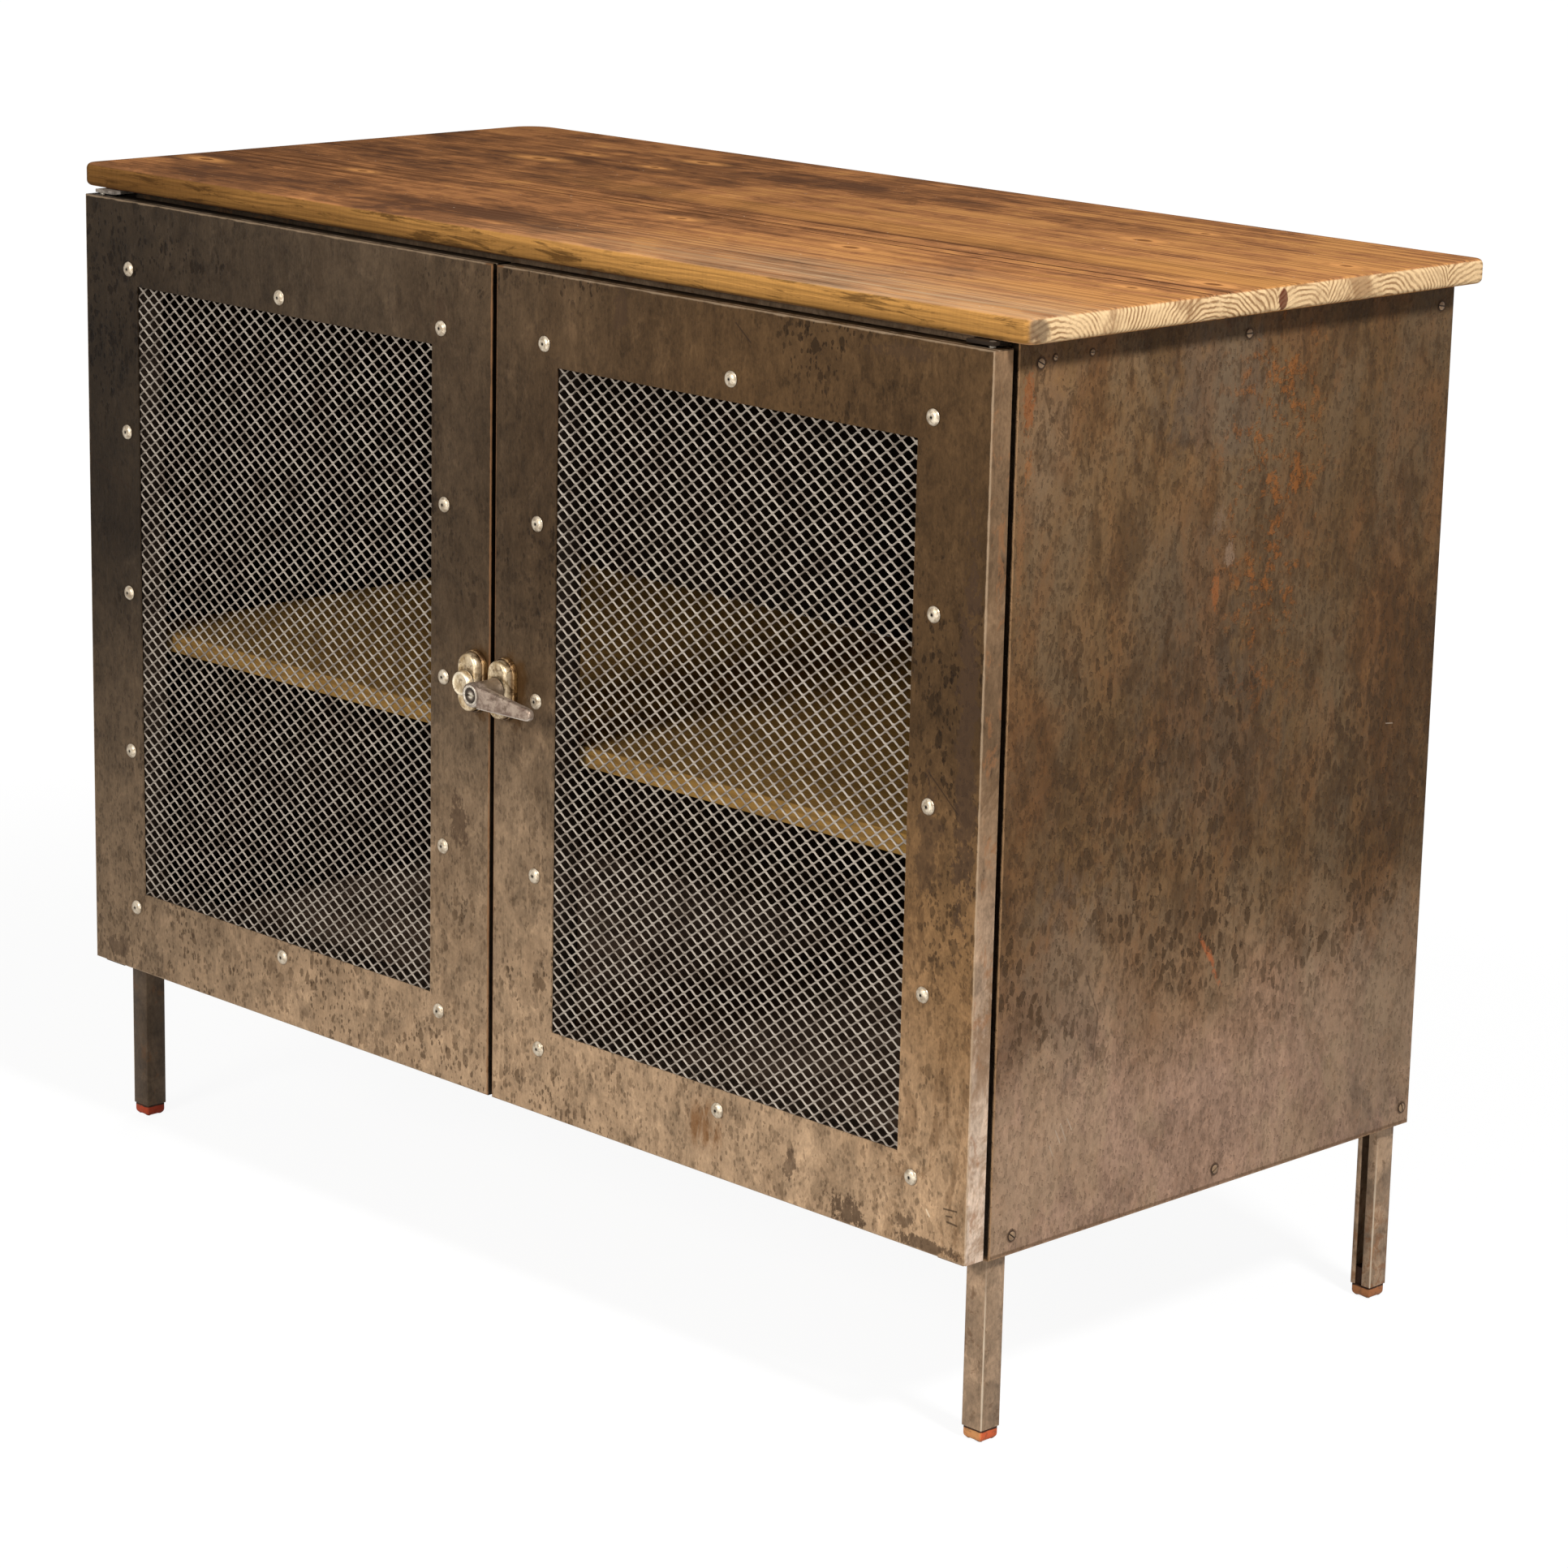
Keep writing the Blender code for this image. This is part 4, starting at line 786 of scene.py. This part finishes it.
def block(shape, low, high):
    low, high = Vector(low), Vector(high)
    size = Matrix.Diagonal((*(high - low), 1.0))
    bmesh.ops.create_cube(shape, size=1.0, matrix=Matrix.Translation((low + high) / 2) @ size)


def spin(shape, spots, centre, axis, steps, closed=False):
    """Turn a line of spots round an axis; a closed line runs back to its first spot."""
    points = [shape.verts.new(spot) for spot in spots]
    following = points[1:] + points[:1] if closed else points[1:]
    edges = [shape.edges.new(pair) for pair in zip(points, following)]
    bmesh.ops.spin(shape, geom=points + edges, cent=centre, axis=axis, angle=2 * math.pi, steps=steps,
                   use_merge=True)


def turned(shape, x, z, profile, steps, closed=False):
    """Turn (radius, depth) pairs round a line along Y through x and z."""
    spots = [(x + radius, FACE_Y + depth, z) for radius, depth in profile]
    spin(shape, spots, (x, 0, z), (0, 1, 0), steps, closed)


def tidy(shape):
    bmesh.ops.remove_doubles(shape, verts=shape.verts, dist=MERGE)
    bmesh.ops.recalc_face_normals(shape, faces=shape.faces)
    return shape


def eased(node, width, segments):
    """A copy of a CAD solid with its sharp corners rounded."""
    shape = bmesh.new()
    shape.from_mesh(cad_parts[node].data)
    bmesh.ops.remove_doubles(shape, verts=shape.verts, dist=MERGE)
    bmesh.ops.dissolve_limit(shape, angle_limit=math.radians(1.0), verts=shape.verts, edges=shape.edges)
    bevel(shape, sharp_edges(shape, math.radians(30.0)), width, segments)
    return shape


FOOT_TOP = 0.009
FOOT_LEDGE = 0.0012
FOOT_CORNER = 0.0016
FOOT_WEAR = 0.004


def foot_cap(corner, material):
    """The plug in a leg's end: a cap worn round underneath, and the spigot that holds it in the leg."""
    low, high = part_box(corner + "_foot")
    shape = bmesh.new()
    block(shape, low, (high[0], high[1], FOOT_TOP))
    upright = [edge for edge in shape.edges if span(edge, 2) > FOOT_TOP / 2]
    bevel(shape, upright, FOOT_CORNER, 3)
    under = {edge for face in shape.faces if face.normal.z < -0.9 for edge in face.edges}
    bevel(shape, under, FOOT_WEAR, 5)
    top = max(shape.faces, key=lambda face: face.calc_center_median().z)
    bmesh.ops.inset_region(shape, faces=[top], thickness=FOOT_LEDGE, use_even_offset=True)
    pulled(shape, top, (0.0, 0.0, high[2] - FOOT_TOP))
    add_piece(corner + "_foot_cap", shape, material, "carcass", [corner + "_foot"], 40.0)


MESH_LONG = 0.0136
MESH_SHORT = 0.00993
MESH_DEPTH = 0.0022
MESH_LAP = 0.0045
STRAND_WIDTH = 0.00152
STRAND_THICKNESS = 0.0008
STRAND_TILT = math.radians(22.0)
KNUCKLE = 0.0021


def expanded_mesh(side, material):
    """Rows of zigzag strands, each tilted in the sheet and bonded to the next at its knuckles."""
    left, right = WINDOW[side]
    columns = math.ceil((right - left) / MESH_LONG) + 2
    rows = 2 * math.ceil((WINDOW_HIGH - WINDOW_LOW) / MESH_SHORT)
    rise = MESH_SHORT / 2 - STRAND_WIDTH * math.cos(STRAND_TILT)
    slope = MESH_LONG / 2 - KNUCKLE
    lean = Vector((0.0, math.sin(STRAND_TILT), math.cos(STRAND_TILT))) * STRAND_WIDTH / 2
    thick = Vector((0.0, math.cos(STRAND_TILT), -math.sin(STRAND_TILT))) * STRAND_THICKNESS / 2
    start = (left + right) / 2 - columns * MESH_LONG / 2
    lowest = (WINDOW_LOW + WINDOW_HIGH) / 2 + (0.5 - rows / 2) * MESH_SHORT / 2
    origin = Vector((start, FACE_Y + MESH_DEPTH, lowest - rise / 2))
    shape = bmesh.new()
    section = (lean + thick, lean - thick, -lean - thick, thick - lean)
    face = shape.faces.new([shape.verts.new(origin + spot) for spot in section])
    for along, up in ((KNUCKLE, 0.0), (slope, rise), (KNUCKLE, 0.0), (slope, -rise)) * columns:
        face = pulled(shape, face, (along, 0.0, up))
    bmesh.ops.recalc_face_normals(shape, faces=shape.faces)
    strand = every(shape)
    for row in range(1, rows):
        slide = MESH_LONG / 2 if row % 2 else 0.0
        bmesh.ops.translate(shape, verts=copied(shape, strand), vec=(slide, 0.0, row * MESH_SHORT / 2))
    for limit, outward in ((left - MESH_LAP, -1), (right + MESH_LAP, 1)):
        cut(shape, (limit, 0, 0), (outward, 0, 0), 4)
    add_piece(side + "_expanded_mesh", shape, material, side + "_door",
              [side + "_door_mesh"], None)


CLAMP_FRONT = FACE_Y + 0.0032
CLAMP_BACK = FACE_Y + 0.0257
CLAMP_WALL = 0.002
CLAMP_FLANGE = 0.025


def clamp_ring(side, material):
    """An angle-iron frame behind the mesh, mitred at its corners."""
    left, right = WINDOW[side]
    behind = CLAMP_FRONT + CLAMP_WALL
    section = (
        (0.0, CLAMP_FRONT), (CLAMP_FLANGE, CLAMP_FRONT), (CLAMP_FLANGE, behind),
        (CLAMP_WALL, behind), (CLAMP_WALL, CLAMP_BACK), (0.0, CLAMP_BACK),
    )
    shape = bmesh.new()
    loops = []
    for across, up in ((-1, -1), (1, -1), (1, 1), (-1, 1)):
        x = right if across > 0 else left
        z = WINDOW_HIGH if up > 0 else WINDOW_LOW
        loop = [shape.verts.new((x + across * out, depth, z + up * out)) for out, depth in section]
        loops.append([shape.edges.new((loop[n - 1], loop[n])) for n in range(len(loop))])
    for loop, following in zip(loops, loops[1:] + loops[:1]):
        bmesh.ops.bridge_loops(shape, edges=loop + following)
    tidy(shape)
    bevel(shape, sharp_edges(shape, RIGHT_ANGLES), 0.0004, 2)
    add_piece(side + "_clamp_angle", shape, material, side + "_door",
              [side + "_door_clamp_ring"])


def rivet_places(side):
    left, right = WINDOW[side]
    low = WINDOW_LOW - RIVET_ROW_BEYOND[side]
    pitch = (WINDOW_HIGH + RIVET_ROW_BEYOND[side] - low) / 4
    places = [((left + right) / 2, low), ((left + right) / 2, low + 4 * pitch)]
    for n in range(5):
        across = RIVET_CORNER_ACROSS[side] if n in (0, 4) else RIVET_SIDE_ACROSS[side]
        places += [(left - across, low + pitch * n), (right + across, low + pitch * n)]
    return places


RIVET_HOLLOW = 0.00075
RIVET_PROFILE = (
    (0.0, -0.0016), (0.0006, -0.0016), (0.0007, -0.0025), (0.0018, -0.0027), (0.0034, -0.0025),
    (0.0048, -0.0019), (0.0057, -0.0011), (0.006, -0.0005), (0.0058, -0.0003), (0.002, -0.0003),
    (0.002, 0.0052), (0.0031, 0.0053), (0.0032, 0.0072), (0.0022, 0.0082), (0.0, 0.0082),
)


def door_rivets(side, material):
    """Blind rivets: a round head with a hollow in its middle, and an end spread behind the clamp ring."""
    places = rivet_places(side)
    shape = bmesh.new()
    hollow = shape.verts.layers.float.new("hollow")
    for x, z in places:
        turned(shape, x, z, RIVET_PROFILE, 20)
    # Corners in the hollow of each head are marked for painted shade.
    for vert in shape.verts:
        near = min(math.hypot(vert.co.x - x, vert.co.z - z) for x, z in places)
        vert[hollow] = 1.0 if near < RIVET_HOLLOW and vert.co.y < FACE_Y else 0.0
    add_piece(side + "_door_rivets", tidy(shape), material, side + "_door")


SCREW_HEIGHT = 0.0011
SCREW_SLOT = 0.13
SCREW_PROFILE = ((0.0, 1.0), (0.45, 0.94), (0.8, 0.62), (1.0, 0.15), (1.0, 0.0), (0.0, 0.0))


def slotted_head(shape, place, outward, radius, turn):
    """Add a round slotted screw head: two halves of a dome on a thin disc."""
    head = bmesh.new()
    spots = [(radius * across, 0.0, SCREW_HEIGHT * up) for across, up in SCREW_PROFILE]
    spin(head, spots, (0, 0, 0), (0, 0, 1), 20)
    bmesh.ops.remove_doubles(head, verts=head.verts, dist=MERGE / 10)
    cut(head, (0, radius * SCREW_SLOT, 0), (0, -1, 0))
    other_half = copied(head, every(head))
    bmesh.ops.rotate(head, verts=other_half, cent=(0, 0, 0), matrix=Matrix.Rotation(math.pi, 3, "Z"))
    bmesh.ops.create_cone(head, cap_ends=True, segments=20, radius1=radius * 0.98, radius2=radius * 0.98,
                          depth=SCREW_HEIGHT * 0.3, matrix=Matrix.Translation((0, 0, SCREW_HEIGHT * 0.15)))
    bmesh.ops.recalc_face_normals(head, faces=head.faces)
    stand = Matrix.Rotation(outward * math.pi / 2, 4, "Y") @ Matrix.Rotation(turn, 4, "Z")
    bmesh.ops.transform(head, matrix=Matrix.Translation(place) @ stand, verts=head.verts)
    join(shape, head)


def panel_screws(side, outward, material):
    shape = bmesh.new()
    for depth, height, radius, turn in PANEL_SCREWS:
        slotted_head(shape, (outward * CASE_HALF, FACE_Y + depth, height), outward, radius, turn)
    add_piece(side + "_panel_screws", shape, material, "carcass")


TOP_ROUND = 0.0042
TOP_CORNERS = (((1, -1), 0.009), ((-1, -1), 0.014), ((-1, 1), 0.028), ((1, 1), 0.011))


def pine_top(material):
    """The glued top: each corner is sawn to its own radius, and the rim is rounded."""
    middle = (TOP_FRONT + TOP_REAR) / 2
    shape = bmesh.new()
    block(shape, (-TOP_HALF, TOP_FRONT, TOP_LOW), (TOP_HALF, TOP_REAR, TOP_HIGH))
    for (across, along), radius in TOP_CORNERS:
        upright = [edge for edge in shape.edges if span(edge, 2) > 0.01
                   and all(abs(vert.co.x - across * TOP_HALF) < 0.001 for vert in edge.verts)
                   and all((vert.co.y - middle) * along > 0.2 for vert in edge.verts)]
        bevel(shape, upright, radius, 8)
    rim = {edge for face in shape.faces if abs(face.normal.z) > 0.9 for edge in face.edges}
    bevel(shape, rim, TOP_ROUND, 5)
    add_piece("waxed_pine_top", shape, material, "carcass", ["pine_top"], 40.0)


ROSETTE_WIDE = 0.01225
ROSETTE_HIGH = 0.024
ROSETTE_SEAT = 0.0003
ROSETTE_STEPS = (
    (0.003, 0.0), (0.0007, 0.0003), (0.0003, 0.0007), (-0.0006, 0.0006), (0.0048, 0.0001),
    (0.0013, 0.0004), (0.0009, 0.0009), (0.0003, 0.0011), (-0.0005, 0.001),
)


def rosette(side, x, material):
    """A cast oval: a flange with a rounded lip, a groove, a body with a rolled rim and a dished face."""
    straight = ROSETTE_HIGH - ROSETTE_WIDE
    shape = bmesh.new()
    bmesh.ops.create_circle(shape, cap_ends=True, radius=ROSETTE_WIDE, segments=38,
                            matrix=Matrix.Rotation(math.pi / 2, 4, "X"))
    for vert in shape.verts:
        vert.co.z += math.copysign(straight, vert.co.z)
    bmesh.ops.translate(shape, verts=shape.verts, vec=(x, FACE_Y - ROSETTE_SEAT, LATCH_Z))
    face = next(iter(shape.faces))
    for forward, inset in ROSETTE_STEPS:
        face = pulled(shape, face, (0.0, -forward, 0.0))
        for vert in face.verts:
            away = vert.co - Vector((x, vert.co.y, LATCH_Z))
            away.z -= math.copysign(min(abs(away.z), straight), away.z)
            vert.co -= away.normalized() * inset
    bmesh.ops.recalc_face_normals(shape, faces=shape.faces)
    add_piece(side + "_cast_rosette", shape, material, side + "_door",
              [side + "_rosette"], 50.0)


BOSS_PROFILE = (
    (0.0, -0.0164), (0.0066, -0.0165), (0.008, -0.0171), (0.009, -0.0166), (0.0095, -0.0155),
    (0.0096, -0.0116), (0.0, -0.0116),
)


def fixed_boss(material):
    shape = bmesh.new()
    turned(shape, -LATCH_X, LATCH_Z, BOSS_PROFILE, 40)
    add_piece("plain_boss", tidy(shape), material, "left_door", ["left_rosette_boss"], 40.0)


BARREL_PROFILE = (
    (0.0, -0.0325), (0.0058, -0.0325), (0.0062, -0.0359), (0.008, -0.0364), (0.0091, -0.0355),
    (0.0095, -0.0335), (0.0094, -0.029), (0.0091, -0.024), (0.0091, -0.017), (0.0094, -0.0142),
    (0.01, -0.0119), (0.01, -0.0117), (0.0, -0.0117),
)
BLADE_LOW = (0.004, -0.0364, -0.0092)
BLADE_HIGH = (0.0643, -0.0278, 0.008)
BLADE_MIDDLE = 0.03
BLADE_ROOT = 0.0078
BLADE_DROOP = math.radians(4.0)
EYE_PROFILE = (
    (0.006, -0.0327), (0.006, -0.0363), (0.0064, -0.0367), (0.0074, -0.0367), (0.0078, -0.0363),
    (0.0078, -0.0347),
)


def lever(material, ring_material):
    """A cast lever: a flared barrel with an eye in its end, and a blade that tapers to a rounded tip."""
    shape = bmesh.new()
    turned(shape, LATCH_X, LATCH_Z, BARREL_PROFILE, 40)
    tidy(shape)
    blade = bmesh.new()
    block(blade, BLADE_LOW, BLADE_HIGH)
    for vert in blade.verts:
        if vert.co.x > BLADE_MIDDLE:
            vert.co.z *= 0.5
            vert.co.y += 0.0018 if vert.co.y < -0.033 else -0.0012
    tips = [edge for edge in blade.edges if span(edge, 1) > 0.002
            and all(vert.co.x > BLADE_MIDDLE for vert in edge.verts)]
    bevel(blade, tips, 0.004, 8)
    rims = [edge for edge in sharp_edges(blade, RIGHT_ANGLES)
            if any(vert.co.x > BLADE_LOW[0] + 0.0005 for vert in edge.verts)]
    bevel(blade, rims, 0.0017, 4)
    droop = Matrix.Rotation(BLADE_DROOP, 4, "Y")
    place = Matrix.Translation((LATCH_X, FACE_Y, LATCH_Z))
    bmesh.ops.transform(blade, matrix=place @ droop, verts=blade.verts)
    along = droop.to_3x3() @ Vector((1, 0, 0))
    cut(blade, Vector((LATCH_X, 0, LATCH_Z)) + along * BLADE_ROOT, -along)
    join(shape, blade)
    add_piece("cast_lever", shape, material, "latch", ["latch_lever"], 40.0)
    eye = bmesh.new()
    turned(eye, LATCH_X, LATCH_Z, EYE_PROFILE, 40, closed=True)
    add_piece("lever_eye_ring", tidy(eye), ring_material, "latch", (), 40.0)


# Surroundings

def pick_seen(nodes, lighting, seen):
    """One shader for light that falls on the cabinet, another for what the eye and polished metal see."""
    camera, glossy, through = (nodes.node("ShaderNodeLightPath", output=f"Is {kind} Ray")
                               for kind in ("Camera", "Glossy", "Transmission"))
    eye = camera.most(glossy).most(through)
    return nodes.node("ShaderNodeMixShader", {}, {0: eye, 1: lighting, 2: seen})


FLOOR_RADIUS = 14.0
FLOOR_DROP = 0.0003


def floor_and_sky():
    """A pale floor that keeps a soft shadow, and a white surround for the eye and for reflections."""
    shape = bmesh.new()
    bmesh.ops.create_circle(shape, cap_ends=True, radius=FLOOR_RADIUS, segments=64,
                            matrix=Matrix.Translation((0, 0, -FLOOR_DROP)))
    finish = Finish("studio_floor")
    finish.tree.nodes.clear()
    spot = finish.node("ShaderNodeTexCoord", output="Object")
    away = finish.node("ShaderNodeVectorMath", {"operation": "LENGTH"}, {0: spot}, "Value")
    shade = finish.blend((0.92, 0.92, 0.92), (1.0, 1.0, 1.0), step(away, 0.9, 2.4))
    plain = finish.node("ShaderNodeBsdfDiffuse", {}, {"Color": (0.5, 0.5, 0.5, 1.0)})
    faint = finish.node("ShaderNodeBsdfDiffuse", {}, {"Color": (0.09, 0.09, 0.09, 1.0)})
    glow = finish.node("ShaderNodeEmission", {}, {"Color": shade, "Strength": 1.0})
    white = finish.node("ShaderNodeAddShader", {}, {0: faint, 1: glow})
    finish.node("ShaderNodeOutputMaterial", {}, {0: pick_seen(finish, plain, white)})
    mesh = as_mesh("studio_floor", shape)
    mesh.materials.append(finish.material)
    linked("studio_floor", mesh)

    world = bpy.data.worlds.new("studio")
    bpy.context.scene.world = world
    world.use_nodes = True
    sky = Nodes(world.node_tree)
    sky.tree.nodes.clear()
    soft = sky.node("ShaderNodeBackground", {}, {"Color": (1.0, 0.985, 0.965, 1.0), "Strength": 0.2})
    bright = sky.node("ShaderNodeBackground", {}, {"Color": (1.0, 1.0, 1.0, 1.0), "Strength": 1.0})
    sky.node("ShaderNodeOutputWorld", {}, {0: pick_seen(sky, soft, bright)})


def area_light(name, place, target, size, power, colour=(1.0, 1.0, 1.0)):
    light = bpy.data.lights.new(name, "AREA")
    light.shape = "RECTANGLE"
    light.size, light.size_y = size
    light.energy = power
    light.color = colour
    lamp = linked(name, light)
    lamp.location = place
    lamp.rotation_euler = (Vector(target) - Vector(place)).to_track_quat("-Z", "Y").to_euler()


PHOTO_WIDTH = 1932.0
SENSOR_WIDTH = 36.0
CAMERA_PLACE = (2.57937, -2.4878, 1.26331)
CAMERA_AZIMUTH = math.radians(45.157)
CAMERA_DIP = math.radians(14.264)
CAMERA_ROLL = math.radians(1.263)
CAMERA_FOCUS = 5779.65


def set_camera():
    """The photograph's own view; the focal length is given in pixels of the photograph."""
    flat = math.cos(CAMERA_DIP)
    across, ahead = -math.sin(CAMERA_AZIMUTH) * flat, math.cos(CAMERA_AZIMUTH) * flat
    look = Vector((across, ahead, -math.sin(CAMERA_DIP)))
    level = look.cross(Vector((0, 0, 1))).normalized()
    upright = level.cross(look)
    right = level * math.cos(CAMERA_ROLL) + upright * math.sin(CAMERA_ROLL)
    up = upright * math.cos(CAMERA_ROLL) - level * math.sin(CAMERA_ROLL)
    data = bpy.data.cameras.new("camera")
    data.sensor_width = SENSOR_WIDTH
    data.lens = SENSOR_WIDTH * CAMERA_FOCUS / PHOTO_WIDTH
    data.clip_end = 60.0
    camera = linked("camera", data)
    turn = Matrix((right, up, -look)).transposed().to_4x4()
    camera.matrix_world = Matrix.Translation(CAMERA_PLACE) @ turn
    bpy.context.scene.camera = camera


def paint(material, *names):
    for name in names:
        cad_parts[name].material_slots[0].material = material


def main():
    bpy.context.scene.view_settings.view_transform = "Standard"
    set_camera()
    floor_and_sky()
    area_light("key", (0.2, -2.7, 1.5), (0.0, 0.0, 0.4), (0.9, 0.9), 46.0, (1.0, 0.97, 0.92))
    area_light("side", (2.9, -0.6, 3.2), (0.3, 0.1, 0.5), (0.5, 0.5), 152.0)
    area_light("low", (0.6, -1.4, 0.12), (0.2, -0.1, 0.2), (2.0, 0.2), 5.0)
    area_light("rear", (-1.9, 2.3, 0.6), (0.0, 0.0, 0.42), (1.6, 0.6), 42.0)

    door, flank, section = door_steel(), side_steel(), frame_steel()
    # Painted shade: the two darkest steels here are near black, standing for the shade inside the case and
    # behind the door skins.
    dark = inner_steel("shaded_dark_steel", (0.009, 0.0058, 0.0038), (0.025, 0.016, 0.01))
    reveal = inner_steel("clamp_steel", (0.022, 0.015, 0.011), (0.06, 0.042, 0.03))
    base = inner_steel("floor_steel", (0.09, 0.058, 0.04), (0.205, 0.14, 0.1))
    zinc = plain_metal("zinc_mesh", (0.165, 0.132, 0.104), (0.33, 0.284, 0.236), 60.0, 0.5, 0.3)
    rivet = plain_metal("rivet_aluminium", (0.3, 0.232, 0.158), (0.56, 0.476, 0.362), 260.0, 0.26, 0.75,
                        "hollow")
    screw = screw_brass()
    plate = plain_metal("plate_steel", (0.12, 0.098, 0.08), (0.29, 0.25, 0.21), 200.0, 0.4, 0.4)
    plated = plain_metal("bright_steel", (0.24, 0.205, 0.165), (0.5, 0.455, 0.39), 200.0, 0.26, 0.8)
    eye_ring = plain_metal("eye_ring", (0.33, 0.28, 0.222), (0.58, 0.515, 0.43), 400.0, 0.35, 0.35)
    cast, brass, pine, shelf_pine = worn_lever(), cast_brass(), stained_pine(), raw_pine()
    feet = {
        "front_right": foot_plastic("foot_orange", (0.5, 0.235, 0.09), (0.56, 0.11, 0.04)),
        "front_left": foot_plastic("foot_red", (0.4, 0.06, 0.024), (0.3, 0.04, 0.018)),
        "rear_right": foot_plastic("foot_rust", (0.42, 0.17, 0.066), (0.36, 0.14, 0.058)),
        "rear_left": foot_plastic("foot_brick", (0.45, 0.11, 0.045), (0.28, 0.06, 0.028)),
    }
    paint(back_steel(), "back_panel")
    paint(dark, "left_shelf_cleat", "right_shelf_cleat", "latch_cam")
    paint(base, "floor_panel")
    paint(plated, "latch_spindle", "cam_nut")
    paint(eye_screw(), "lever_screw")
    for side, outward in (("left", -1), ("right", 1)):
        paint(door, side + "_door_skin")
        paint(flank, side + "_panel")
        # Painted shade: the right-hand top pivot plate, in the pine top's shade, takes the near-black
        # steel.
        paint(plate if side == "left" else dark, side + "_top_pivot_plate")
        paint(section, side + "_bottom_pivot_plate", side + "_top_rail", side + "_bottom_rail")
        paint(plated, side + "_door_top_pin", side + "_door_bottom_pin")
        expanded_mesh(side, zinc)
        clamp_ring(side, reveal)
        door_rivets(side, rivet)
        panel_screws(side, outward, screw)
        rosette(side, outward * LATCH_X, brass)
    for end in ("front", "rear"):
        paint(section, end + "_top_rail", end + "_bottom_rail")
        for side in ("left", "right"):
            corner = end + "_" + side
            leg = eased(corner + "_post", 0.0006, 2)
            add_piece(corner + "_leg", leg, section, "carcass", [corner + "_post"])
            foot_cap(corner, feet[corner])
    add_piece("pine_shelf", eased("shelf", 0.0012, 3), shelf_pine, "carcass", ["shelf"])
    pine_top(pine)
    fixed_boss(brass)
    lever(cast, eye_ring)


main()
